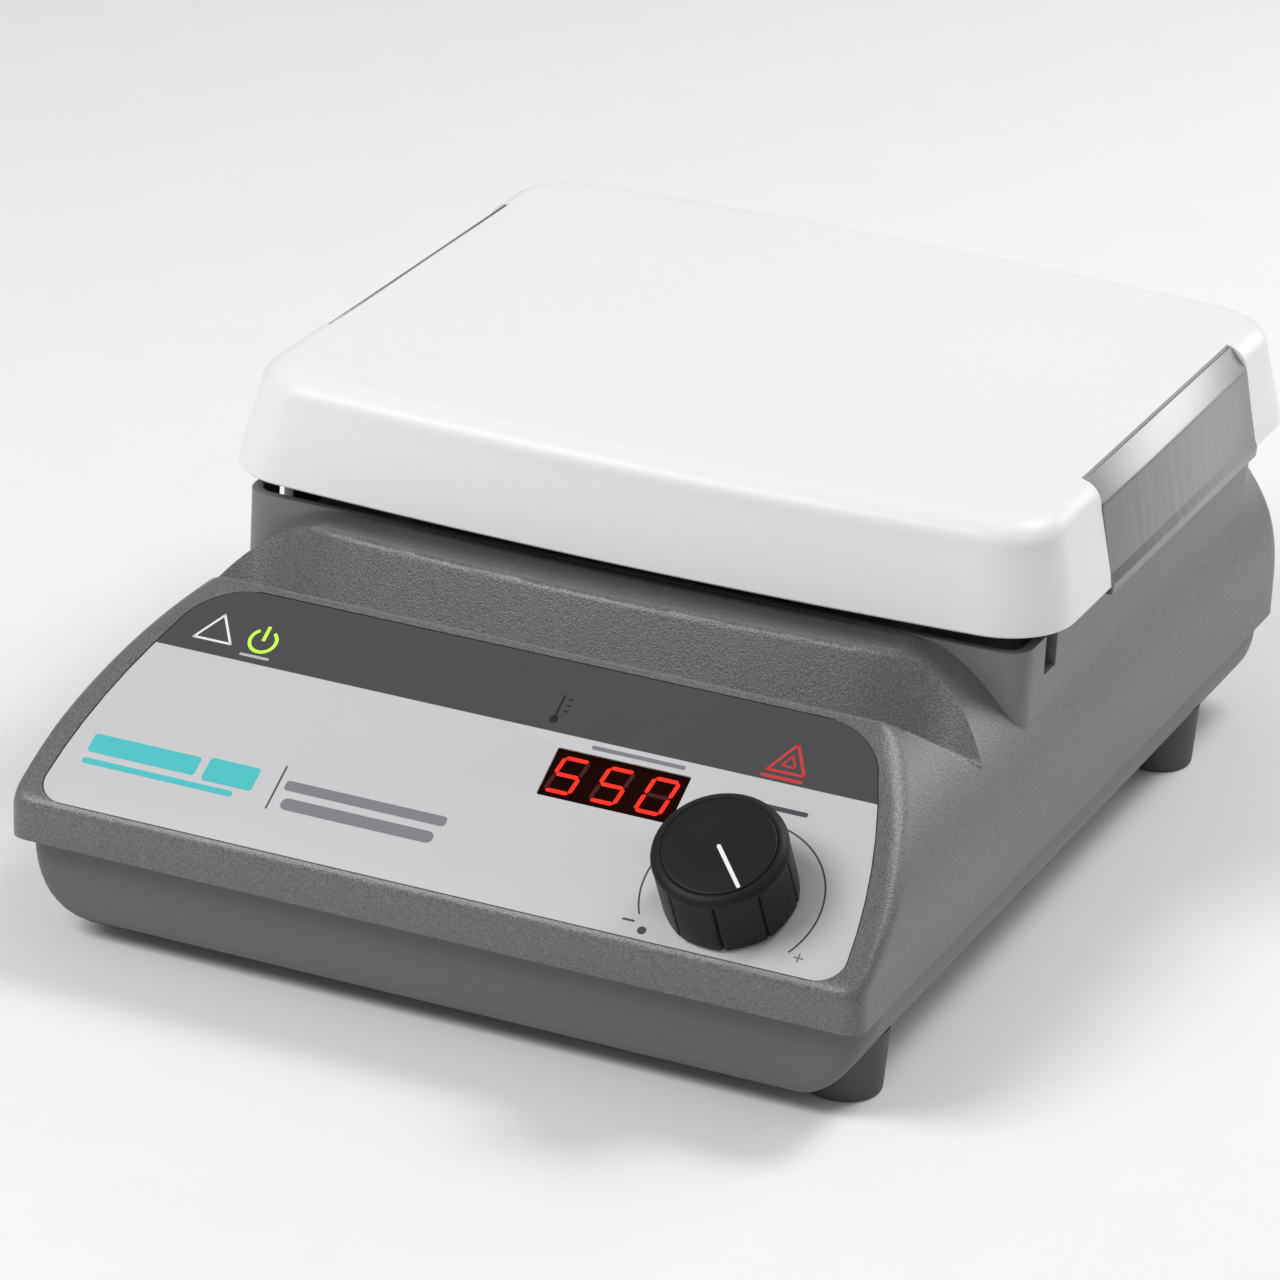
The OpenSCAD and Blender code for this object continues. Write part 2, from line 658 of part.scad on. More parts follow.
module element_leads() {
    color([0.85, 0.82, 0.70]) for (x = [-9, 9])
        wire([[23, x < 0 ? 45 : 55, board_top + 3.8], [15, x < 0 ? 45 : 55, board_top + 3.8],
              [x < 0 ? -2 : 8, 52, board_top + 12], [x, lead_y + 6, 40], [x, lead_y + 6, 60],
              [x, lead_y + 6, element_z]], 1.3);
}

module board_ribbon_cable() {
    color([0.60, 0.60, 0.62]) along_x(24) polygon([[-22, board_top], [-22, 30], [-60, 40], [-84, 41.5],
        [-86, 48.2], [-86.6, 47.9], [-84.6, 40.6], [-60.4, 39], [-23, 29.2], [-23, board_top]]);
}

module mains_wires() {
    color([0.45, 0.30, 0.20]) for (i = [0:2]) wire([[inlet_x - 8 + 8 * i, rear_y - 37, inlet_z + 7.8],
        [inlet_x - 8 + 8 * i, rear_y - 44, inlet_z + 6], [inlet_x - 10 + 7 * i, 82, inlet_z - 8],
        [44, 73 - 9 * i, board_top + 16], [37, 65 - 10 * i, board_top + 3.8],
        [29, 65 - 10 * i, board_top + 3.8]], 1.4);
}

// ---- mains inlet ----------------------------------------------------------------------------

socket_w = 24.4;
socket_h = 17;
socket_depth = 16;
drawer_w = 21;
drawer_h = 7.6;
drawer_z = inlet_z - 10.6;
socket_z = inlet_z + 4.6;

module mains_inlet() {
    color([0.09, 0.09, 0.10]) difference() {
        union() {
            translate([inlet_x, rear_y, inlet_z]) rotate([-90, 0, 0]) rounded_box(50, 34, 2.6, 5);
            translate([inlet_x - 13.8, rear_y - 30, inlet_z - 15.5]) cube([27.6, 30.5, 31]);
        }
        translate([inlet_x - socket_w / 2, rear_y + 2.6 - socket_depth, socket_z - socket_h / 2])
            cube([socket_w, socket_depth + over, socket_h]);
        translate([inlet_x - drawer_w / 2 - 0.3, rear_y - 26.4, drawer_z - drawer_h / 2 - 0.3])
            cube([drawer_w + 0.6, 40, drawer_h + 0.6]);
        for (x = [-20, 20]) translate([inlet_x + x, rear_y - over, inlet_z]) rotate([-90, 0, 0])
            cylinder(h = 5, r = 1.7);
    }
    color(steel) for (p = [[-7, 0], [7, 0], [0, 4]])
        translate([inlet_x + p.x - 1, rear_y + 2.6 - socket_depth, socket_z + p.y - 2]) cube([2, 11, 4]);
    color(steel) for (x = [-8, 0, 8])
        translate([inlet_x + x - 2.4, rear_y - 38, inlet_z + 5.6]) cube([4.8, 8.2, 0.8]);
}

module inlet_screws() {
    color(steel) for (x = [-20, 20]) translate([inlet_x + x, rear_y + 2.6, inlet_z]) rotate([90, 0, 0])
        screw(10, 1.6, 3, 1.4);
}

module fuse_drawer() {
    color([0.13, 0.13, 0.14]) difference() {
        union() {
            translate([inlet_x - drawer_w / 2, rear_y - 22, drawer_z - drawer_h / 2])
                cube([drawer_w, 25.2, drawer_h]);
            translate([inlet_x - 4, rear_y + 3.1, drawer_z - 1.2]) cube([8, 1, 2.4]);
        }
        for (x = [-5.2, 5.2]) translate([inlet_x + x - 2.9, rear_y - 23, drawer_z - 2.9]) cube([5.8, 22, 12]);
    }
}

module fuses() {
    for (x = [-5.2, 5.2]) translate([inlet_x + x, rear_y - 22, drawer_z]) rotate([-90, 0, 0]) {
        color([0.85, 0.90, 0.90]) cylinder(h = 20, r = 2.3);
        color(steel) cylinder(h = 5, r = 2.6);
        color(steel) translate([0, 0, 15]) cylinder(h = 5, r = 2.6);
    }
}

module rating_plate() {
    color([0.80, 0.80, 0.80]) translate([-60, rear_y, 34]) cube([56, 0.4, 20]);
}

upper_housing();
lower_housing();
foot_front_left();
foot_front_right();
foot_rear_left();
foot_rear_right();
housing_screws();
panel_label();
display_window();
display_module();
power_light_pipe();
hot_top_light_pipe();
control_board();
control_board_screws();
potentiometer();
potentiometer_nut();
potentiometer_shaft();
heat_knob();
knob_pointer();
pedestal_ring();
heat_shield_pan();
pan_standoffs();
pan_screws();
insulation_pad();
mica_support();
heating_element();
plate_seal();
top_plate();
side_shield_left();
side_shield_right();
temperature_probe();
earth_stud();
power_board();
power_board_screws();
power_transformer();
triac();
triac_heat_sink();
terminal_block();
element_leads();
board_ribbon_cable();
mains_wires();
mains_inlet();
inlet_screws();
fuse_drawer();
fuses();
rating_plate();
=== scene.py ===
"""Looks for the laboratory hotplate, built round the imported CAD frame.

Lengths are in millimetres until a mesh is made, and then in metres. X is to the right, Y to the back, Z up.
"""

import json
import math

import bmesh
import bpy
import numpy as np
from mathutils import Matrix, Vector


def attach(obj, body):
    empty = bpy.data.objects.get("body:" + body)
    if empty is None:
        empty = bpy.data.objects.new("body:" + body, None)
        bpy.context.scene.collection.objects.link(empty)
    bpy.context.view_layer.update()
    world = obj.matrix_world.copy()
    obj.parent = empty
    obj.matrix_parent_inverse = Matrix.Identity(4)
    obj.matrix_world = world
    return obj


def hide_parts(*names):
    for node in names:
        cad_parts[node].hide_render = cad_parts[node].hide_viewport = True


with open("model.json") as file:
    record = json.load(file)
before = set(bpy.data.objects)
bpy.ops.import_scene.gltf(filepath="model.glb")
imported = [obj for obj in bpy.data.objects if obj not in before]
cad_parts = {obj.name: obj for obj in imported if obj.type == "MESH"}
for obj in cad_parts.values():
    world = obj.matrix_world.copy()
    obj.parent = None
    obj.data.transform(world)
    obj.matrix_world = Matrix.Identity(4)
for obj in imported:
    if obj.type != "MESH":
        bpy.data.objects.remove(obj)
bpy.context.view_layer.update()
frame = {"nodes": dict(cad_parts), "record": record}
for imported in list(bpy.data.materials):
    bpy.data.materials.remove(imported)
scene = bpy.context.scene
MM = 0.001

# ---- sizes shared with the CAD part ----------------------------------------------------------

HALF_W = 101.7
FRONT_Y = -135.5
REAR_Y = 136.9
DECK_Z = 73.9
PART_Z = 25.0
FLOOR_Z = 4.8
WALL = 2.8
PANEL_Y = -133.3
PANEL_Z = 35.7
TILT = math.radians(31)
LABEL_L = 65.3
LABEL_FRONT_R, LABEL_BACK_R = 6.0, 10.0
BAND_V = 46.5
RECESS = 0.6
LABEL_TOP = -0.1
LIP_Z, LIP_LEAN = 31.4, 1.4
HOUSING_FRONT_R, HOUSING_BACK_R = 6, 7
SHOULDER_X, SHOULDER_Z, SHOULDER_POWER = 68.4, 35.2, 1.7
TUB_FLAT_HALF, TUB_ROUND_W = 84, 16.5
KNOB_X, KNOB_V, KNOB_R, KNOB_H = 64.8, 15.8, 14.97, 17.4
WINDOW_X, WINDOW_V, WINDOW_W, WINDOW_H = 29.0, 36.4, 31.4, 13.0
LED_V = 52.9
RING_HALF, RING_FRONT, RING_BACK, RING_TOP = 95.7, -33.0, 124.7, 76.6
PLATE_HALF, PLATE_FRONT, PLATE_BACK = 102.1, -36.7, 136.4
PLATE_BOW, PLATE_CORNER = 3.4, 17.8
PLATE_RIM, PLATE_TOP, PLATE_T = 77.4, 102.1, 4.0
SHIELD_Y = (5.0, 103.0)
FOOT_X, FOOT_Y = 88.4, (-108.3, 89.8)
INLET_X, INLET_Z = 50.0, 44.0
INLET_SCREW_X = (-20, 20)
LIGHT_X = (-62.6, 63.1)
STANDOFF_X, STANDOFF_Y = (-62, 62), (-15, 100)
POST_X, POST_Y = (-60, 60), (-20, 80)

# ---- outlines --------------------------------------------------------------------------------


def rounded(corners, steps=10):
    """A counter-clockwise outline of (x, y, radius) corners, with the corners rounded."""
    points = []
    count = len(corners)
    for i, (x, y, r) in enumerate(corners):
        b = np.array([x, y], float)
        if r <= 0:
            points.append(b)
            continue
        u = np.array(corners[i - 1][:2], float) - b
        v = np.array(corners[(i + 1) % count][:2], float) - b
        u /= np.linalg.norm(u)
        v /= np.linalg.norm(v)
        half = math.acos(np.clip(u @ v, -1, 1)) / 2
        middle = b + (u + v) / np.linalg.norm(u + v) * r / math.sin(half)
        start = b + u * r / math.tan(half) - middle
        end = b + v * r / math.tan(half) - middle
        a0 = math.atan2(start[1], start[0])
        sweep = (math.atan2(end[1], end[0]) - a0 + math.pi) % (2 * math.pi) - math.pi
        for k in range(steps + 1):
            a = a0 + sweep * k / steps
            points.append(middle + r * np.array([math.cos(a), math.sin(a)]))
    return [(float(p[0]), float(p[1])) for p in points]


def box_outline(x0, y0, x1, y1, r=0.0, steps=6):
    return rounded([(x0, y0, r), (x1, y0, r), (x1, y1, r), (x0, y1, r)], steps)


def circle(x, y, r, steps=48):
    turn = [2 * math.pi * k / steps for k in range(steps)]
    return [(x + r * math.cos(a), y + r * math.sin(a)) for a in turn]


def label_edge(v):
    """Half the width of the label at distance v up the slope."""
    front_r, back_r = LABEL_FRONT_R, LABEL_BACK_R
    top = LABEL_L - back_r
    at = max(v, front_r)
    side = 95 - 0.023 * at - 0.00352 * at * at
    if v < front_r:
        return side - front_r + math.sqrt(front_r**2 - (front_r - v) ** 2)
    if v > top:
        return side - back_r + math.sqrt(max(back_r**2 - (v - top) ** 2, 0))
    return side


def label_outline(grow, start=0.0):
    """The label's outline, grown by a gap, from distance start up the slope."""
    fan = [LABEL_FRONT_R * (1 - math.cos(math.pi / 2 * k / 10)) for k in range(11)]
    back = [LABEL_L - LABEL_BACK_R + LABEL_BACK_R * math.sin(math.pi / 2 * k / 16) for k in range(17)]
    steps = [v for v in fan + [14, 22, 30, 38, 46] + back if v >= start]
    if start > 0:
        steps = [start] + steps
    right = []
    for v in steps:
        edge = v - grow if v == 0 else v + grow if v == back[-1] else v
        right.append((label_edge(v) + grow, edge))
    return right + [(-x, v) for x, v in reversed(right)]


# ---- placing ---------------------------------------------------------------------------------


def flat(points):
    return np.asarray(points, float)


def on_panel(points):
    """From (x, distance up the slope, height out of the face) to the frame."""
    p = np.asarray(points, float)
    y = PANEL_Y + p[:, 1] * math.cos(TILT) - p[:, 2] * math.sin(TILT)
    z = PANEL_Z + p[:, 1] * math.sin(TILT) + p[:, 2] * math.cos(TILT)
    return np.stack([p[:, 0], y, z], 1)


def along_y(points):
    """An outline in x and z, swept along y."""
    p = np.asarray(points, float)
    return np.stack([p[:, 0], p[:, 2], p[:, 1]], 1)


def on_knob(points):
    """From the knob's own axes, with its axis along z, to the frame."""
    p = np.asarray(points, float) + [KNOB_X, KNOB_V, 0]
    return on_panel(p)


# ---- mesh work -------------------------------------------------------------------------------


def mesh_object(name, points, faces):
    """A mesh object from points in millimetres, with its faces turned outwards."""
    mesh = bpy.data.meshes.new(name)
    mesh.from_pydata((np.asarray(points, float) * MM).tolist(), [], [list(f) for f in faces])
    obj = bpy.data.objects.new(name, mesh)
    scene.collection.objects.link(obj)
    work = bmesh.new()
    work.from_mesh(mesh)
    bmesh.ops.recalc_face_normals(work, faces=work.faces)
    work.to_mesh(mesh)
    work.free()
    return obj


def prism(name, outline, low, high, place=flat):
    """A closed prism on an outline, from low to high."""
    count = len(outline)
    points = [(x, y, low) for x, y in outline] + [(x, y, high) for x, y in outline]
    sides = [(k, (k + 1) % count, (k + 1) % count + count, k + count) for k in range(count)]
    ends = [tuple(reversed(range(count))), tuple(range(count, 2 * count))]
    return mesh_object(name, place(points), sides + ends)


def box(name, x0, x1, y0, y1, z0, z1, place=flat):
    return prism(name, box_outline(x0, y0, x1, y1), z0, z1, place)


def loft(name, rings, place=flat, closed=False):
    """Joins rings of equal length, and caps the first and last unless the rings close on themselves."""
    count = len(rings[0])
    points = [p for ring in rings for p in ring]
    faces = []
    last = len(rings) if closed else len(rings) - 1
    for i in range(last):
        a, b = i * count, (i + 1) % len(rings) * count
        faces += [(a + k, a + (k + 1) % count, b + (k + 1) % count, b + k) for k in range(count)]
    if not closed:
        faces.append(tuple(reversed(range(count))))
        faces.append(tuple(range((len(rings) - 1) * count, len(rings) * count)))
    return mesh_object(name, place(points), faces)


def lathe(name, profile, steps=64, place=flat, x=0.0, y=0.0):
    """A ring-shaped solid of revolution: the (radius, height) points form a closed loop."""
    rings = [[(x + r * math.cos(2 * math.pi * k / steps), y + r * math.sin(2 * math.pi * k / steps), z)
              for k in range(steps)] for r, z in profile]
    return loft(name, rings, place, closed=True)


def apply_modifiers(obj):
    """Replaces an object's mesh with its modifiers' result."""
    graph = bpy.context.evaluated_depsgraph_get()
    mesh = bpy.data.meshes.new_from_object(obj.evaluated_get(graph))
    obj.modifiers.clear()
    obj.data = mesh
    return obj


def combine(obj, tools, operation="DIFFERENCE"):
    """Cuts with, adds or keeps the overlap with each tool, and removes the tools."""
    for tool in tools:
        cut = obj.modifiers.new("combine", "BOOLEAN")
        cut.solver = "MANIFOLD"
        cut.operation = operation
        cut.object = tool
        apply_modifiers(obj)
        bpy.data.objects.remove(tool)
    return obj


def shade(obj, limit=40.0):
    """Smooth shading that breaks where two faces meet at more than the limit."""
    work = bmesh.new()
    work.from_mesh(obj.data)
    for face in work.faces:
        face.smooth = True
    for edge in work.edges:
        edge.smooth = len(edge.link_faces) == 2 and edge.calc_face_angle(0) < math.radians(limit)
    work.to_mesh(obj.data)
    work.free()
    return obj


def bevel(obj, width, segments=3, angle=35.0):
    """Rounds the edges that are sharper than the angle."""
    step = obj.modifiers.new("bevel", "BEVEL")
    step.width = width * MM
    step.segments = segments
    step.limit_method = "ANGLE"
    step.angle_limit = math.radians(angle)
    step.use_clamp_overlap = True
    step.miter_outer = "MITER_ARC"
    step.harden_normals = False
    return apply_modifiers(obj)


def finish_piece(obj, material, body="chassis", nodes=(), limit=40.0):
    """Shading, finish, body, and the CAD nodes that a piece stands for."""
    shade(obj, limit)
    obj.data.materials.clear()
    obj.data.materials.append(material)
    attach(obj, body)
    if nodes:
        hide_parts(*nodes)
    return obj


def soft_copy(node, name, width, material, body="chassis", segments=2):
    """A copy of a CAD node's own mesh with rounded edges, which stands for the node."""
    mesh = frame["nodes"][node].data.copy()
    mesh.name = name
    obj = bpy.data.objects.new(name, mesh)
    scene.collection.objects.link(obj)
    work = bmesh.new()
    work.from_mesh(mesh)
    bmesh.ops.remove_doubles(work, verts=work.verts, dist=2e-6)
    bmesh.ops.dissolve_limit(work, angle_limit=math.radians(0.5), verts=work.verts, edges=work.edges)
    work.to_mesh(mesh)
    work.free()
    bevel(obj, width, segments)
    return finish_piece(obj, material, body, [node])


# ---- moulded forms ---------------------------------------------------------------------------


def outline_distance(outline, u, w):
    """Signed distance from points (u, w) to a closed outline, negative inside."""
    nearest = np.full(u.shape, 1e9)
    inside = np.zeros(u.shape, bool)
    for (ax, ay), (bx, by) in zip(outline, outline[1:] + outline[:1]):
        ex, ey = bx - ax, by - ay
        share = np.clip(((u - ax) * ex + (w - ay) * ey) / max(ex * ex + ey * ey, 1e-12), 0, 1)
        nearest = np.minimum(nearest, (u - ax - share * ex) ** 2 + (w - ay - share * ey) ** 2)
        if ay != by:
            inside ^= ((ay > w) != (by > w)) & (u < ex * (w - ay) / ey + ax)
    return np.where(inside, -1, 1) * np.sqrt(nearest)


class Table:
    def __init__(self, outline, low, high, step=0.25):
        self.low, self.step = low, step
        u = np.arange(low[0], high[0], step)
        w = np.arange(low[1], high[1], step)
        self.value = outline_distance(outline, *np.meshgrid(u, w, indexing="ij"))

    def look(self, u, w):
        """The distance at (u, w), read between the grid's points."""
        a = np.clip((u - self.low[0]) / self.step, 0, self.value.shape[0] - 1.001)
        b = np.clip((w - self.low[1]) / self.step, 0, self.value.shape[1] - 1.001)
        i, j = a.astype(int), b.astype(int)
        a, b = a - i, b - j
        v = self.value
        near = v[i, j] * (1 - b) + v[i, j + 1] * b
        far = v[i + 1, j] * (1 - b) + v[i + 1, j + 1] * b
        return near * (1 - a) + far * a


def corner_curve(a, b, start, base, width, height, power):
    """Signed distance to a flat wall that turns into a flat top through a rounded quarter."""
    x = np.maximum((a - start) / width, 0)
    z = np.maximum((b - base) / height, 0)
    total = np.maximum(x**power + z**power, 1e-9)
    q = total ** (1 / power)
    slope = np.hypot((x / q) ** (power - 1) / width, (z / q) ** (power - 1) / height)
    return (q - 1) / np.maximum(slope, 1e-6)


def plan_distance(x, y, half, front, back, front_r, back_r):
    """Signed distance to a rectangle with its own front and back corner radii."""
    middle = (front + back) / 2
    r = np.where(y < middle, front_r, back_r)
    qx = np.abs(x) - half + r
    qy = np.abs(y - middle) - (back - front) / 2 + r
    outside = np.hypot(np.maximum(qx, 0), np.maximum(qy, 0))
    return outside + np.minimum(np.maximum(qx, qy), 0) - r


def smooth_max(a, b, k):
    """The larger of two values, rounded where they are closer than k."""
    h = np.maximum(k - np.abs(a - b), 0) / k
    return np.maximum(a, b) + h * h * k / 4


def ramp(value, low, high):
    """From 0 at low to 1 at high, with soft ends."""
    t = np.clip((value - low) / (high - low), 0, 1)
    return t * t * (3 - 2 * t)


def surface_net(name, field, low, high, step, settle=3, crease=None):
    """A closed quad mesh where a field is zero, with a sharp edge where a crease runs."""
    axes = [np.arange(a, b + step, step) for a, b in zip(low, high)]
    grid = np.meshgrid(*axes, indexing="ij")
    value = field(*grid)
    inside = value < 0
    cells = np.array(value.shape) - 1
    corners = [(i, j, k) for i in (0, 1) for j in (0, 1) for k in (0, 1)]

    def corner(data, c):
        return data[c[0]:c[0] + cells[0], c[1]:c[1] + cells[1], c[2]:c[2] + cells[2]]

    count = sum(corner(inside, c).astype(int) for c in corners)
    mixed = (count > 0) & (count < 8)
    index = np.full(tuple(cells), -1)
    index[mixed] = np.arange(mixed.sum())
    total = np.zeros((mixed.sum(), 3))
    hits = np.zeros(mixed.sum())
    for c in corners:
        for axis in range(3):
            if c[axis]:
                continue
            d = list(c)
            d[axis] = 1
            va, vb = corner(value, c)[mixed], corner(value, d)[mixed]
            cross = (va < 0) != (vb < 0)
            share = np.where(cross, va / np.where(cross, va - vb, 1), 0)
            at = np.array(c, float) + np.zeros((len(va), 3))
            at[:, axis] += share
            total += at * cross[:, None]
            hits += cross
    base = np.argwhere(mixed)
    points = (base + total / hits[:, None]) * step + np.array(low)
    faces = []
    for axis in range(3):
        b, c = (axis + 1) % 3, (axis + 2) % 3
        size = [s - 1 for s in value.shape]
        window = [slice(1, size[0]), slice(1, size[1]), slice(1, size[2])]
        window[axis] = slice(0, size[axis])
        window = tuple(window)
        after = list(window)
        after[axis] = slice(1, size[axis] + 1)
        here, there = inside[window], inside[tuple(after)]
        for leaving in (True, False):
            spots = np.argwhere(here & ~there if leaving else ~here & there)
            offset = np.array([s.start for s in window])
            spots = spots + offset
            ring = []
            for db, dc in ((0, 0), (1, 0), (1, 1), (0, 1)):
                cell = spots.copy()
                cell[:, b] -= db
                cell[:, c] -= dc
                ring.append(index[cell[:, 0], cell[:, 1], cell[:, 2]])
            quads = np.stack(ring if leaving else ring[::-1], 1)
            faces.append(quads)
    faces = np.concatenate(faces)
    edge = np.zeros(len(points), bool)
    if crease is not None:
        first, second, near = crease(*grid)
        above = first > second
        share = sum(corner(above, c).astype(int) for c in corners)
        edge = ((share > 0) & (share < 8) & corner(near, (0, 0, 0)))[mixed]
        edge &= np.linalg.norm(onto_crease(points, crease) - points, axis=1) < 0.9 * step
    points = settle_points(points, faces, field, step, settle, crease, edge)
    return mesh_object(name, points, faces.tolist())


def settle_points(points, faces, field, step, rounds, crease, edge):
    """Evens out a net and moves its corners onto the surface, and those on an edge onto the crease."""
    pairs = np.concatenate([faces[:, [k, (k + 1) % 4]] for k in range(4)])
    pairs = np.concatenate([pairs, pairs[:, ::-1]])
    links = np.bincount(pairs[:, 0], minlength=len(points))[:, None]
    for _ in range(rounds):
        mean = np.stack([np.bincount(pairs[:, 0], points[pairs[:, 1], k], len(points)) for k in range(3)], 1)
        points = points + 0.5 * (mean / links - points)
        points = onto_surface(points, field, step, 2)
        if edge.any():
            points[edge] = onto_crease(points[edge], crease)
    points = onto_surface(points, field, step, 3)
    if edge.any():
        points[edge] = onto_crease(points[edge], crease)
    return points


def onto_crease(points, crease):
    """Moves points to where both fields of a crease are zero."""
    reach = 0.03
    for _ in range(4):
        slopes = []
        for part in (0, 1):
            slope = np.zeros_like(points)
            for axis in range(3):
                ahead, behind = points.copy(), points.copy()
                ahead[:, axis] += reach
                behind[:, axis] -= reach
                slope[:, axis] = (crease(*ahead.T)[part] - crease(*behind.T)[part]) / (2 * reach)
            slopes.append(slope)
        first, second, _near = crease(*points.T)
        a, b = slopes
        aa, bb, ab = (a * a).sum(1) + 1e-6, (b * b).sum(1) + 1e-6, (a * b).sum(1)
        whole = np.maximum(aa * bb - ab * ab, 0.02)
        p = (bb * first - ab * second) / whole
        q = (aa * second - ab * first) / whole
        points = points - np.clip(p, -2, 2)[:, None] * a - np.clip(q, -2, 2)[:, None] * b
    return points


def onto_surface(points, field, step, rounds):
    """Moves points along the field's slope to where it is zero."""
    reach = 0.03
    for _ in range(rounds):
        slope = np.zeros_like(points)
        for axis in range(3):
            ahead, behind = points.copy(), points.copy()
            ahead[:, axis] += reach
            behind[:, axis] -= reach
            slope[:, axis] = (field(*ahead.T) - field(*behind.T)) / (2 * reach)
        size = np.maximum((slope**2).sum(1), 0.05)
        move = -slope * (field(*points.T) / size)[:, None]
        length = np.linalg.norm(move, axis=1)
        move *= np.minimum(1, 0.5 * step / np.maximum(length, 1e-9))[:, None]
        points = points + move
    return points


RIDGE_Y = PANEL_Y + (LABEL_L + 2.6) * math.cos(TILT)
RIDGE_Z = PANEL_Z + (LABEL_L + 2.6) * math.sin(TILT)


def side_outline(low):
    """Side view of the upper housing, from height low upwards."""
    lean = LIP_LEAN * (LIP_Z - low) / (LIP_Z - PART_Z)
    nose_z = PANEL_Z - (PANEL_Y - FRONT_Y) * math.tan(TILT)
    return rounded([
        (FRONT_Y + lean, low, 0), (REAR_Y, low, 0), (REAR_Y, DECK_Z, 12.5), (-45, DECK_Z, 1.6),
        (-53.6, 53.8, 1.2),
        (RIDGE_Y, RIDGE_Z, 2.5), (FRONT_Y, nose_z, 4), (FRONT_Y, LIP_Z, 5)])


SIDE_TABLE = Table(side_outline(PART_Z - 12), (-150, 0), (150, 90))
# How far back the cove's wall stands at each distance from the middle, and what evens it out.
COVE_X = [0, 11, 39, 66, 76, 84, 90, 95, 102]
COVE_SHIFT = [-4.9, -4.8, -3.8, -1.9, 1.0, 3.0, 2.0, -0.6, -1.5]
COVE_SPREAD = (-6, -4, -2, 0, 2, 4, 6)


def upper_parts(x, y, z, inset=0.0):
    """The three walls that bound the upper housing: side view, shoulders and plan."""
    bow = sum(np.interp(np.abs(np.abs(x) + d), COVE_X, COVE_SHIFT) for d in COVE_SPREAD) / len(COVE_SPREAD)
    bow = bow * ramp(y, -68, -56) * (1 - ramp(y, -20, 60))
    side = SIDE_TABLE.look(y - bow, z) + inset
    across = corner_curve(np.abs(x), z, SHOULDER_X, SHOULDER_Z, HALF_W - SHOULDER_X,
                          DECK_Z - SHOULDER_Z, SHOULDER_POWER) + inset
    plan = plan_distance(x, y, HALF_W, FRONT_Y, REAR_Y, HOUSING_FRONT_R, HOUSING_BACK_R) + inset
    return side, across, plan


def cove_nearness(y, z):
    """1 round the cove's ends, where its edges stay crisp, and 0 away from them."""
    return ramp(y, -80, -72) * (1 - ramp(y, -44, -34)) * ramp(z, 48, 54)


def upper_field(x, y, z, inset=0.0):
    """Signed distance to the outside of the upper housing, shrunk by inset."""
    side, across, plan = upper_parts(x, y, z, inset)
    blend = 3.4 - 3.3 * cove_nearness(y, z)
    return smooth_max(smooth_max(side, across, blend), plan, 3.0)


def cove_crease(x, y, z):
    """The edge where the cove runs out through the shoulders."""
    side, across, _plan = upper_parts(x, y, z)
    return side, across, cove_nearness(y, z) > 0.97


TUB_TABLE = Table(rounded([
    (FRONT_Y + 6.4 - 0.8, PART_Z + 16, 0), (FRONT_Y + 7.8, FLOOR_Z, 2.5),
    (REAR_Y - 9, FLOOR_Z, 16), (REAR_Y - 4.5 + 2.6, PART_Z + 16, 0)]), (-150, -10), (150, 60))


def tub_field(x, y, z, inset=0.0):
    side = TUB_TABLE.look(y, z) + inset
    across = corner_curve(np.abs(x), PART_Z - z, TUB_FLAT_HALF, 0, TUB_ROUND_W, PART_Z - FLOOR_Z,
                          SHOULDER_POWER) + inset
    plan = plan_distance(x, y, HALF_W, FRONT_Y + 4.4, REAR_Y - 3, 14, 16) + inset
    return smooth_max(smooth_max(side, across, 2.0), plan, 3.0)


# ---- materials -------------------------------------------------------------------------------


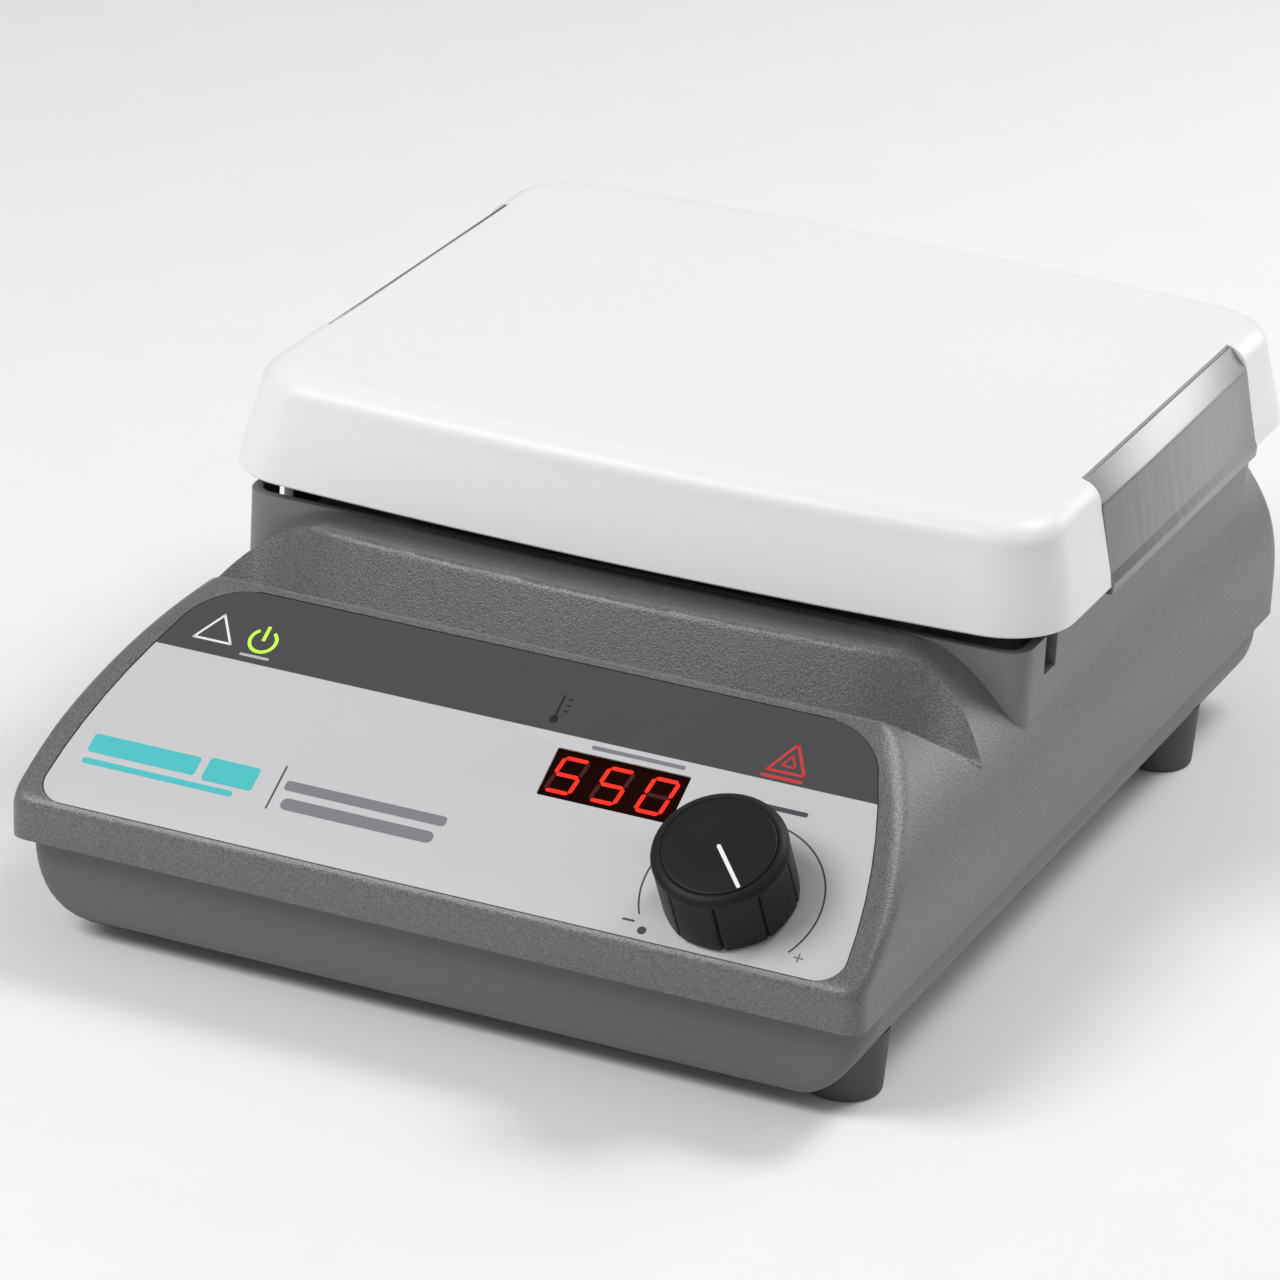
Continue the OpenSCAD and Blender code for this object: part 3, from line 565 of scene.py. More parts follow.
def material(name, base, rough, grain, tint=0.08, relief=0.0, metal=0.0, stretch=(1, 1, 1), coat=0.0,
             cloud=18.0, cloud_share=0.35, rough_spread=0.06, specular=0.5, contrast=0.18, detail=4.0):
    """A procedural finish. Grain, cloud and relief are real sizes in millimetres."""
    made = bpy.data.materials.new(name)
    made.use_nodes = True
    tree = made.node_tree
    shader = tree.nodes["Principled BSDF"]
    shader.inputs["Metallic"].default_value = metal
    shader.inputs["Coat Weight"].default_value = coat
    shader.inputs["Coat Roughness"].default_value = 0.12
    shader.inputs["Specular IOR Level"].default_value = specular
    where = tree.nodes.new("ShaderNodeTexCoord")
    mapping = tree.nodes.new("ShaderNodeMapping")
    mapping.inputs["Scale"].default_value = stretch
    tree.links.new(where.outputs["Object"], mapping.inputs["Vector"])
    fine = tree.nodes.new("ShaderNodeTexNoise")
    fine.inputs["Scale"].default_value = 1 / (grain * MM)
    fine.inputs["Detail"].default_value = detail
    fine.inputs["Roughness"].default_value = 0.6
    broad = tree.nodes.new("ShaderNodeTexNoise")
    broad.inputs["Scale"].default_value = 1 / (cloud * MM)
    broad.inputs["Detail"].default_value = 3
    tree.links.new(mapping.outputs["Vector"], fine.inputs["Vector"])
    tree.links.new(where.outputs["Object"], broad.inputs["Vector"])
    mixed = tree.nodes.new("ShaderNodeMath")
    mixed.operation = "MULTIPLY_ADD"
    mixed.inputs[1].default_value = 1 - cloud_share
    tree.links.new(fine.outputs["Fac"], mixed.inputs[0])
    part = tree.nodes.new("ShaderNodeMath")
    part.operation = "MULTIPLY"
    part.inputs[1].default_value = cloud_share
    tree.links.new(broad.outputs["Fac"], part.inputs[0])
    tree.links.new(part.outputs[0], mixed.inputs[2])
    colour = tree.nodes.new("ShaderNodeValToRGB")
    colour.color_ramp.elements[0].position = 0.5 - contrast
    colour.color_ramp.elements[1].position = 0.5 + contrast
    colour.color_ramp.elements[0].color = [min(c * (1 - tint), 1) for c in base] + [1]
    colour.color_ramp.elements[1].color = [min(c * (1 + tint), 1) for c in base] + [1]
    tree.links.new(mixed.outputs[0], colour.inputs["Fac"])
    tree.links.new(colour.outputs["Color"], shader.inputs["Base Color"])
    polish = tree.nodes.new("ShaderNodeMapRange")
    polish.inputs["From Min"].default_value = 0.3
    polish.inputs["From Max"].default_value = 0.7
    polish.inputs["To Min"].default_value = max(rough - rough_spread, 0.03)
    polish.inputs["To Max"].default_value = min(rough + rough_spread, 1)
    tree.links.new(mixed.outputs[0], polish.inputs["Value"])
    tree.links.new(polish.outputs["Result"], shader.inputs["Roughness"])
    if relief > 0:
        bump = tree.nodes.new("ShaderNodeBump")
        bump.inputs["Distance"].default_value = relief * MM
        bump.inputs["Strength"].default_value = 1.0
        tree.links.new(fine.outputs["Fac"], bump.inputs["Height"])
        tree.links.new(bump.outputs["Normal"], shader.inputs["Normal"])
    return made


def glow(made, colour, strength):
    """Makes a finish give off light."""
    shader = made.node_tree.nodes["Principled BSDF"]
    shader.inputs["Emission Color"].default_value = list(colour) + [1]
    shader.inputs["Emission Strength"].default_value = strength
    return made


FINISH = {
    "housing_plastic": material("housing_plastic", (0.124, 0.123, 0.131), 0.35, 0.45, 0.26, 0.11,
                                cloud_share=0.06, specular=0.6, contrast=0.12, detail=1.5),
    "housing_smooth": material("housing_smooth", (0.124, 0.123, 0.131), 0.42, 0.4, 0.06, 0.03,
                               cloud_share=0.2, specular=0.4),
    "ring_plastic": material("ring_plastic", (0.18, 0.18, 0.185), 0.40, 0.5, 0.05, 0.02),
    "foot_rubber": material("foot_rubber", (0.085, 0.085, 0.088), 0.7, 0.4, 0.12, 0.04),
    "label_film": material("label_film", (0.545, 0.545, 0.56), 0.42, 0.25, 0.015, 0.004, specular=0.3),
    "band_print": material("band_print", (0.058, 0.058, 0.064), 0.5, 0.25, 0.05, 0.004, specular=0.3),
    "black_print": material("black_print", (0.010, 0.010, 0.012), 0.5, 0.2, 0.06, specular=0.3),
    "dark_print": material("dark_print", (0.05, 0.052, 0.06), 0.45, 0.2, 0.06),
    "grey_print": material("grey_print", (0.19, 0.19, 0.21), 0.45, 0.2, 0.06),
    "teal_print": material("teal_print", (0.06, 0.50, 0.52), 0.42, 0.2, 0.05),
    "white_print": material("white_print", (0.80, 0.80, 0.80), 0.42, 0.2, 0.03),
    "pale_print": material("pale_print", (0.45, 0.45, 0.46), 0.45, 0.2, 0.05),
    "red_print": material("red_print", (0.55, 0.035, 0.035), 0.42, 0.2, 0.06),
    "lime_print": glow(material("lime_print", (0.42, 0.72, 0.05), 0.35, 0.2, 0.05), (0.45, 0.95, 0.05), 0.5),
    "display_lens": material("display_lens", (0.012, 0.003, 0.002), 0.4, 1.0, 0.2, specular=0.0),
    "display_black": material("display_black", (0.02, 0.018, 0.018), 0.4, 0.5, 0.2, 0.01),
    "segment_red": glow(material("segment_red", (0.55, 0.012, 0.006), 0.5, 0.3, 0.08, specular=0.2),
                        (1.0, 0.020, 0.006), 0.95),
    "segment_dark": material("segment_dark", (0.060, 0.008, 0.006), 0.4, 0.3, 0.1, specular=0.2),
    "green_lens": material("green_lens", (0.45, 0.75, 0.10), 0.2, 1.0, 0.05, coat=0.3),
    "red_lens": material("red_lens", (0.70, 0.10, 0.06), 0.2, 1.0, 0.05, coat=0.3),
    "board": material("board", (0.03, 0.13, 0.065), 0.32, 2.5, 0.2, 0.02, coat=0.2),
    "knob_plastic": material("knob_plastic", (0.009, 0.009, 0.0095), 0.46, 0.4, 0.25, 0.03, specular=0.2),
    "pointer_white": material("pointer_white", (0.83, 0.83, 0.82), 0.4, 0.3, 0.03, 0.004),
    "ceramic": material("ceramic", (0.815, 0.815, 0.81), 0.38, 3.0, 0.012, 0.010, cloud=60, specular=0.4),
    "shield_steel": material("shield_steel", (0.27, 0.27, 0.27), 0.34, 0.5, 0.13, 0.003, 1.0,
                             (0.015, 1, 0.015), cloud_share=0.10, rough_spread=0.04, contrast=0.15,
                             detail=2.0),
    "plain_steel": material("plain_steel", (0.56, 0.56, 0.55), 0.3, 0.4, 0.1, 0.006, 1.0),
    "black_steel": material("black_steel", (0.012, 0.012, 0.012), 0.6, 0.6, 0.2, 0.02),
    "ceramic_fibre": material("ceramic_fibre", (0.78, 0.75, 0.68), 0.9, 1.2, 0.08, 0.15),
    "mica": material("mica", (0.45, 0.38, 0.25), 0.35, 4.0, 0.25, 0.03),
    "ribbon_alloy": material("ribbon_alloy", (0.33, 0.28, 0.23), 0.42, 1.0, 0.25, 0.01, 1.0),
    "silicone": material("silicone", (0.45, 0.09, 0.055), 0.6, 0.6, 0.08, 0.02),
    "brass": material("brass", (0.68, 0.50, 0.24), 0.28, 0.4, 0.1, 0.005, 1.0),
    "transformer_core": material("transformer_core", (0.22, 0.17, 0.05), 0.45, 0.6, 0.3, 0.05,
                                 stretch=(1, 1, 12)),
    "heat_sink_metal": material("heat_sink_metal", (0.62, 0.62, 0.64), 0.35, 0.4, 0.08, 0.006, 1.0,
                                (1, 1, 0.05)),
    "terminal_plastic": material("terminal_plastic", (0.04, 0.19, 0.095), 0.4, 0.6, 0.1, 0.02),
    "wire_insulation": material("wire_insulation", (0.30, 0.28, 0.22), 0.6, 0.5, 0.2, 0.05),
    "fuse_glass": material("fuse_glass", (0.80, 0.86, 0.86), 0.12, 1.0, 0.05, coat=0.5),
    "blank_plate": material("blank_plate", (0.58, 0.58, 0.58), 0.35, 0.4, 0.05, 0.006),
}


SLOT = {part["node"]: part["material_slot"] for part in frame["record"]["subparts"]}


def finish_nodes():
    """Gives each CAD node its slot's finish."""
    for node, obj in frame["nodes"].items():
        obj.data.materials.clear()
        obj.data.materials.append(FINISH[SLOT[node]])


# ---- housing ---------------------------------------------------------------------------------


def upper_shell():
    """Grey moulding: bezel, lip, cove, deck and shoulders, hollow under its wall."""
    low = (-HALF_W - 2, FRONT_Y - 2, PART_Z - 7)
    high = (HALF_W + 2, REAR_Y + 2, DECK_Z + 3)
    shell = surface_net("upper_shell", lambda x, y, z: np.maximum(upper_field(x, y, z), PART_Z - 5 - z),
                        low, high, 1.15, crease=cove_crease)
    hollow = surface_net("hollow", lambda x, y, z: np.maximum(upper_field(x, y, z, WALL), PART_Z - 4 - z),
                         low, high, 3.0)
    tools = [box("below", -130, 130, -160, 160, 0, PART_Z), hollow]
    tools.append(prism("label_recess", label_outline(0.3), -RECESS, 6, on_panel))
    half_w, half_h = WINDOW_W / 2 + 0.6, WINDOW_H / 2 + 1.8
    tools.append(prism("window_hole", box_outline(WINDOW_X - half_w, WINDOW_V - half_h, WINDOW_X + half_w,
                                                  WINDOW_V + half_h), -9, 2, on_panel))
    tools.append(prism("shaft_hole", circle(KNOB_X, KNOB_V, 3.7), -9, 2, on_panel))
    for x in LIGHT_X:
        tools.append(prism("light_hole", circle(x, LED_V, 4.4), -9, 2, on_panel))
    for x in STANDOFF_X:
        for y in STANDOFF_Y:
            tools.append(prism("standoff_hole", circle(x, y, 2.2, 24), DECK_Z - 10, DECK_Z + 4))
    tools.append(box("lead_hole", -35, 35, 32, 56, DECK_Z - 10, DECK_Z + 6))
    tools.append(box("inlet_hole", INLET_X - 14, INLET_X + 14, INLET_Z - 15.7, INLET_Z + 15.7,
                     REAR_Y - 14, REAR_Y + 3, along_y))
    for x in INLET_SCREW_X:
        tools.append(prism("inlet_screw_hole", circle(INLET_X + x, INLET_Z, 1.6, 20), REAR_Y - 14, REAR_Y + 2,
                           along_y))
    combine(shell, tools)
    return finish_piece(shell, FINISH["housing_plastic"], nodes=["upper_housing"], limit=36)


def lower_shell():
    """Grey tub under the lip, with its foot sockets and cooling slots."""
    low = (-HALF_W - 2, FRONT_Y - 2, FLOOR_Z - 3)
    high = (HALF_W + 2, REAR_Y + 2, PART_Z + 8)
    shell = surface_net("lower_shell", lambda x, y, z: np.maximum(tub_field(x, y, z), z - PART_Z - 4),
                        low, high, 1.5)
    hollow = surface_net("hollow", lambda x, y, z: np.maximum(tub_field(x, y, z, WALL), z - PART_Z - 4),
                         low, high, 3.0)
    top = box("above", -130, 130, -160, 160, PART_Z, PART_Z + 30)
    combine(shell, [top])
    bosses = []
    for x in (-FOOT_X, FOOT_X):
        for y in FOOT_Y:
            bosses.append(prism("boss", circle(x, y, 11.5, 40), 0, PART_Z + 20))
    for x in POST_X:
        for y in POST_Y:
            bosses.append(prism("post", circle(x, y, 3.4, 24), 0, 12))
    combine(hollow, bosses)
    tools = [hollow]
    for x in (-FOOT_X, FOOT_X):
        for y in FOOT_Y:
            tools.append(prism("foot_socket", circle(x, y, 9.6, 48), -1, 15.2))
            tools.append(prism("screw_hole", circle(x, y, 2.2, 24), -1, 40))
    for i in range(-5, 6):
        for y0, y1 in ((-96, -50), (96, 114)):
            slot = box_outline(i * 7 - 1.5, y0, i * 7 + 1.5, y1, 1.4, 5)
            tools.append(prism("cooling_slot", slot, FLOOR_Z - 1, FLOOR_Z + WALL + 1))
    combine(shell, tools)
    return finish_piece(shell, FINISH["housing_smooth"], nodes=["lower_housing"],
                        limit=40)


def feet():
    """Round tapered rubber feet with a rounded rim."""
    names = {(-1, 0): "foot_front_left", (1, 0): "foot_front_right", (-1, 1): "foot_rear_left",
             (1, 1): "foot_rear_right"}
    for (side, back), node in names.items():
        profile = [(2.3, 9.0), (4.2, 9.0), (4.2, 0.4), (4.5, 0.0), (7.9, 0.0), (8.35, 0.12), (8.62, 0.45),
                   (8.72, 0.9), (8.98, 5.5), (9.2, 9.5), (9.5, 15.2), (2.3, 15.2)]
        foot = lathe(node + "_rubber", profile, 72, x=side * FOOT_X, y=FOOT_Y[back])
        finish_piece(foot, FINISH["foot_rubber"], nodes=[node])


# ---- control panel ---------------------------------------------------------------------------


def label():
    """Printed film in its recess, with a window and the knob's hole."""
    film = prism("label_film_sheet", label_outline(0), -RECESS, LABEL_TOP, on_panel)
    window = box_outline(WINDOW_X - WINDOW_W / 2, WINDOW_V - WINDOW_H / 2, WINDOW_X + WINDOW_W / 2,
                         WINDOW_V + WINDOW_H / 2, 0.5, 4)
    combine(film, [prism("window", window, -3, 3, on_panel),
                   prism("knob_hole", circle(KNOB_X, KNOB_V, 7.4), -3, 3, on_panel)])
    bevel(film, 0.12, 2, 60)
    finish_piece(film, FINISH["label_film"], nodes=["panel_label"])


def ink(name, shapes, finish, low=-0.16, high=-0.045):
    """Thin raised ink: every shape is an outline in (x, distance up the slope)."""
    points, faces = [], []
    for shape in shapes:
        count, start = len(shape), len(points)
        points += [(x, v, low) for x, v in shape] + [(x, v, high) for x, v in shape]
        faces += [(start + k, start + (k + 1) % count, start + (k + 1) % count + count, start + k + count)
                  for k in range(count)]
        faces.append(tuple(start + k for k in reversed(range(count))))
        faces.append(tuple(start + count + k for k in range(count)))
    made = mesh_object(name, on_panel(points), faces)
    return finish_piece(made, FINISH[finish])


def stroke(points, width, closed=False):
    """Outlines that together draw a line of a real width through the points."""
    runs = list(zip(points, points[1:] + points[:1])) if closed else list(zip(points, points[1:]))
    shapes = []
    for (ax, ay), (bx, by) in runs:
        length = math.hypot(bx - ax, by - ay)
        ux, uy = (bx - ax) / length * width / 2, (by - ay) / length * width / 2
        shapes.append([(ax - ux + uy, ay - uy - ux), (bx + ux + uy, by + uy - ux),
                       (bx + ux - uy, by + uy + ux), (ax - ux - uy, ay - uy + ux)])
    return shapes


def band_arc(x, v, r, start, end, width, steps):
    """Outlines along an arc, from the start to the end angle in degrees."""
    shapes = []
    for k in range(steps):
        a0 = math.radians(start + (end - start) * k / steps)
        a1 = math.radians(start + (end - start) * (k + 1) / steps)
        lo, hi = r - width / 2, r + width / 2
        shapes.append([(x + reach * math.cos(a), v + reach * math.sin(a))
                       for reach, a in ((lo, a0), (hi, a0), (hi, a1), (lo, a1))])
    return shapes


def triangle(x0, x1, v0, v1):
    return [(x0, v0), (x1, v0), ((x0 + x1) / 2, v1)]


def bar(x0, x1, v0, v1, r=0.0):
    return box_outline(x0, v0, x1, v1, r, 4)


def panel_ink():
    """Generic marks: rings, triangles, bars, a dial arc, a minus and a plus."""
    ink("ink_band", [label_outline(0.03, BAND_V)], "band_print", -0.45, -0.06)
    ink("ink_white", stroke(triangle(-78.5, -69.5, 50.2, 57.4), 0.55, True), "white_print", high=-0.03)
    power = band_arc(-62.6, 52.9, 3.1, 125, 415, 0.8, 32)
    power += [bar(-63.0, -62.2, 52.9, 57.0)]
    ink("ink_power", power, "lime_print", high=-0.02)
    ink("ink_power_bar", [bar(-66.4, -59.2, 48.0, 48.7, 0.3)], "pale_print", high=-0.02)
    red = stroke(triangle(59.8, 68.4, 49.2, 57.0), 0.7, True)
    red += stroke(triangle(62.5, 65.7, 50.8, 53.8), 0.5, True)
    red += [bar(58.9, 68.6, 47.1, 48.0, 0.3)]
    ink("ink_hot", red, "red_print", high=-0.02)
    gauge = [bar(9.1, 9.6, 50.0, 56.4, 0.2), bar(8.3, 10.4, 48.6, 50.6, 0.9)]
    gauge += [bar(10.6, 11.6, v, v + 0.4) for v in (52.0, 53.6, 55.2)]
    ink("ink_gauge", gauge, "black_print", high=-0.02)
    ink("ink_small_grey", [bar(20.5, 42.5, 44.2, 45.2, 0.4)], "grey_print")
    dark = [bar(57.7, 72.9, 39.2, 40.4, 0.5)]
    dark += [bar(44.2, 47.0, 3.9, 4.4)]
    dark += band_arc(49.4, 2.3, 0.55, 0, 360, 0.9, 16)
    dark += band_arc(KNOB_X, KNOB_V, 20.0, 209, -31.5, 0.38, 72)
    dark += [bar(-43.3, -42.9, 10.6, 22.4)]
    ink("ink_dark", dark, "dark_print")
    grey = [bar(-41.4, -2.8, 16.3, 18.9, 0.8), bar(-40.4, -3.9, 11.3, 14.4, 1.5)]
    grey += [bar(83.3, 84.22, 4.33, 4.67), bar(84.58, 85.5, 4.33, 4.67), bar(84.23, 84.57, 3.4, 5.6)]
    ink("ink_grey", grey, "grey_print")
    teal = [bar(-88.7, -62.5, 14.6, 19.6, 0.8), bar(-60.5, -48.3, 14.0, 20.2, 0.8),
            bar(-88.7, -52.0, 11.4, 12.9, 0.6)]
    ink("ink_teal", teal, "teal_print")


def display():
    """Red window with the lit digits that show through it."""
    lens = box("display_lens_block", WINDOW_X - WINDOW_W / 2 - 0.4, WINDOW_X + WINDOW_W / 2 + 0.4,
               WINDOW_V - 7.8, WINDOW_V + 7.8, -RECESS - 2.2, -RECESS, on_panel)
    bevel(lens, 0.25, 2)
    finish_piece(lens, FINISH["display_lens"], nodes=["display_window"])
    lit = {"5": "afgcd", "0": "abcdef"}
    digit_w, digit_h, lean = 6.6, 10.0, math.tan(math.radians(8))
    shapes, faint = [], []
    for place, digit in enumerate("550"):
        middle = WINDOW_X + (place - 1) * 10.6 - 0.5
        for name in "abcdefg":
            outline = [(middle + x + y * lean, WINDOW_V + y) for x, y in segment(name, digit_w, digit_h)]
            (shapes if name in lit[digit] else faint).append(outline)
    ink("display_segments", shapes, "segment_red", -RECESS - 0.1, -RECESS + 0.03)
    ink("display_segments_off", faint, "segment_dark", -RECESS - 0.1, -RECESS + 0.02)
    soft_copy("display_module", "display_block", 0.3, FINISH["display_black"])


def segment(name, width, height):
    """One bar of a seven-segment digit, centred on the digit."""
    t = 0.48
    gap = 0.12
    w, h = width / 2 - t, height / 2 - t
    across = {"a": h, "g": 0.0, "d": -h}
    if name in across:
        v = across[name]
        x = w - gap
        return [(-x, v), (-x + t, v - t), (x - t, v - t), (x, v), (x - t, v + t), (-x + t, v + t)]
    side = w if name in "bc" else -w
    low, high = (gap, h - gap) if name in "bf" else (-h + gap, -gap)
    return [(side, low), (side + t, low + t), (side + t, high - t), (side, high), (side - t, high - t),
            (side - t, low + t)]


def knob():
    """Black knob: nine wide panels between narrow grooves, a flat disc on top, hollow round its hub."""
    steps = 360
    base = 0.5
    rim = KNOB_H + base
    pitch = 360 / 9
    first_groove = -75
    groove_half_w, groove_depth, hollow_depth = 0.62, 0.75, 0.28

    def radius(r, angle, depth):
        """Radius at an angle, with the given share of the grooves and the hollows between them."""
        phase = (angle - first_groove) % pitch
        phase = min(phase, pitch - phase)
        groove = groove_depth * max(0.0, 1 - math.radians(phase) * KNOB_R / groove_half_w)
        hollow = hollow_depth * (1 - (1 - phase / (pitch / 2)) ** 2)
        return r - depth * max(groove, hollow)

    profile = [(0.0, 15.1, 0), (3.0, 15.1, 0), (3.0, 3.6, 0), (3.3, 3.4, 0), (5.2, 3.4, 0), (5.4, 3.7, 0),
               (5.4, 11.5, 0), (11.8, 11.5, 0), (11.8, base + 0.2, 0), (12.0, base, 0), (14.6, base, 1),
               (14.85, base + 0.2, 1), (14.95, base + 0.5, 1), (KNOB_R, 9.0, 1), (KNOB_R, 13.6, 1),
               (KNOB_R, 14.6, 1), (KNOB_R, 15.1, 0.75), (14.95, 15.6, 0.3), (14.9, 16.1, 0.05),
               (14.75, 16.5, 0), (14.4, 16.9, 0), (13.9, 17.25, 0), (13.3, 17.52, 0), (12.8, 17.68, 0),
               (12.68, 17.62, 0), (12.58, 17.45, 0), (12.48, 17.45, 0), (12.40, 17.72, 0), (12.25, 17.84, 0),
               (11.9, rim, 0), (6.0, rim - 0.03, 0), (0.0, rim - 0.03, 0)]
    rings = []
    for r, z, depth in profile:
        ring = []
        for k in range(steps):
            a = 360 * k / steps
            reach = radius(r, a, depth) if r > 0 else 0.0
            ring.append((reach * math.cos(math.radians(a)), reach * math.sin(math.radians(a)), z))
        rings.append(ring)
    body = loft("knob_body", rings, on_knob)
    weld(body)
    finish_piece(body, FINISH["knob_plastic"], "knob", ["heat_knob"], limit=50)
    angle = math.radians(42)
    line = box_outline(-0.46, -12.15, 0.46, 0.4, 0.4, 4)
    turned = [(x * math.cos(angle) - y * math.sin(angle), x * math.sin(angle) + y * math.cos(angle))
              for x, y in line]
    pointer = prism("pointer_line", turned, rim - 0.5, rim + 0.03, on_knob)
    bevel(pointer, 0.06, 1)
    finish_piece(pointer, FINISH["pointer_white"], "knob", ["knob_pointer"])


def weld(obj, distance=0.001):
    """Joins points that lie on each other."""
    work = bmesh.new()
    work.from_mesh(obj.data)
    bmesh.ops.remove_doubles(work, verts=work.verts, dist=distance * MM)
    bmesh.ops.recalc_face_normals(work, faces=work.faces)
    work.to_mesh(obj.data)
    work.free()


# ---- top -------------------------------------------------------------------------------------


def plate_plan(inset, z):
    """The plate's outline at a height, shrunk by inset: straight sides, bowed front and back."""
    half = PLATE_HALF - inset
    y0, y1 = PLATE_FRONT + inset, PLATE_BACK - inset
    r = max(PLATE_CORNER - inset / 2, 2)
    run = half - r
    ring = []
    for k in range(49):
        x = run * (k - 24) / 24
        ring.append((x, y0 - PLATE_BOW * (1 - (x / run) ** 2), z))
    for k in range(1, 14):
        a = math.pi / 2 * k / 14
        ring.append((run + r * math.sin(a), y0 + r - r * math.cos(a), z))
    for k in range(25):
        ring.append((half, y0 + r + (y1 - y0 - 2 * r) * k / 24, z))
    for k in range(13, 0, -1):
        a = math.pi / 2 * k / 14
        ring.append((run + r * math.sin(a), y1 - r + r * math.cos(a), z))
    for k in range(48, -1, -1):
        x = run * (k - 24) / 24
        ring.append((x, y1 + PLATE_BOW * (1 - (x / run) ** 2), z))
    for k in range(1, 14):
        a = math.pi / 2 * k / 14
        ring.append((-run - r * math.sin(a), y1 - r + r * math.cos(a), z))
    for k in range(24, -1, -1):
        ring.append((-half, y0 + r + (y1 - y0 - 2 * r) * k / 24, z))
    for k in range(13, 0, -1):
        a = math.pi / 2 * k / 14
        ring.append((-run - r * math.sin(a), y0 + r - r * math.cos(a), z))
    return ring


def plate_rings(thickness):
    """Rings from the rim up the skirt, round the edge and over the top."""
    draft, edge = 4.0, 6.0
    start_z, turn_z = PLATE_RIM + 1.0, PLATE_TOP - edge
    rings = []
    if thickness == 0:
        rings += [plate_plan(inset, PLATE_RIM + up) for inset, up in ((0.9, 0), (0.35, 0.12), (0.08, 0.5))]
    else:
        rings += [plate_plan(thickness - 0.8, PLATE_RIM), plate_plan(thickness - 0.2, PLATE_RIM + 0.3)]
    for k in range(1, 7):
        share = k / 6
        rings.append(plate_plan(thickness + draft * share, start_z + (turn_z - start_z) * share))
    r = edge - thickness
    for k in range(1, 11):
        a = math.pi / 2 * k / 10
        rings.append(plate_plan(draft + thickness + r * (1 - math.cos(a)), turn_z + r * math.sin(a)))
    top = PLATE_TOP - thickness
    for extra in (2, 8):
        rings.append(plate_plan(draft + thickness + r + extra, top))
    return rings


def shield_line(t):
    """The shield's outer face moved inwards by t, as three (x, z) corners."""
    a = np.array([PLATE_HALF + 0.1, PLATE_RIM - 0.4])
    b = np.array([PLATE_HALF - 3.7, PLATE_TOP - 5.4])
    c = np.array([PLATE_HALF - 8.4, PLATE_TOP - 0.1])
    m = np.array([-(b - a)[1], (b - a)[0]]) / np.linalg.norm(b - a)
    n = np.array([-(c - b)[1], (c - b)[0]]) / np.linalg.norm(c - b)
    return a + m * t, b + (m + n) * t / (1 + m @ n), c + n * t


def top_plate():
    """White glazed ceramic cap, with a recess for each side shield."""
    outside, inside = plate_rings(0), plate_rings(PLATE_T)
    plate = loft("ceramic_cap", inside[::-1] + outside)
    tools = []
    lower, bend, upper = shield_line(1.1)
    far = PLATE_HALF + 10
    notch = [(far, PLATE_RIM - 5), (far, PLATE_TOP + 5), (upper[0] - 0.1, PLATE_TOP + 5),
             (upper[0] - 0.1, upper[1]), tuple(bend), tuple(lower), (lower[0], PLATE_RIM - 5)]
    for side in (1, -1):
        outline = [(side * x, z) for x, z in notch]
        tools.append(prism("notch", outline, SHIELD_Y[0] - 0.35, SHIELD_Y[1] + 0.35, along_y))
    combine(plate, tools)
    finish_piece(plate, FINISH["ceramic"], nodes=["top_plate"], limit=35)


def shields():
    """Brushed steel sheet with a rounded bend and a rolled hem along its lower edge."""
    sheet_t, hem_w, hem_h = 1.0, 4.4, 1.2
    low, bend, top = shield_line(0)
    low_in, bend_in, top_in = shield_line(sheet_t)
    hem = low + [0.4, -0.1]
    corners = [(low_in[0], low_in[1] + 0.2, 0.0), (hem[0] - hem_w, hem[1] - 0.2, 0.2),
               (hem[0] - hem_w, hem[1] - hem_h, 0.3), (hem[0] - 0.2, hem[1] - hem_h, 0.7),
               (hem[0], hem[1] + 1.6, 0.8), (low[0] - 0.6, low[1] + 3.6, 2.0), (*bend, 2.2),
               (*top, 0.3), (*top_in, 0.3), (*bend_in, 1.4)]
    for side, node in ((1, "side_shield_right"), (-1, "side_shield_left")):
        outline = [(side * x, z) for x, z in rounded(corners, 6)]
        sheet = prism(node + "_sheet", outline, *SHIELD_Y, along_y)
        bevel(sheet, 0.18, 2, 60)
        finish_piece(sheet, FINISH["shield_steel"], nodes=[node])


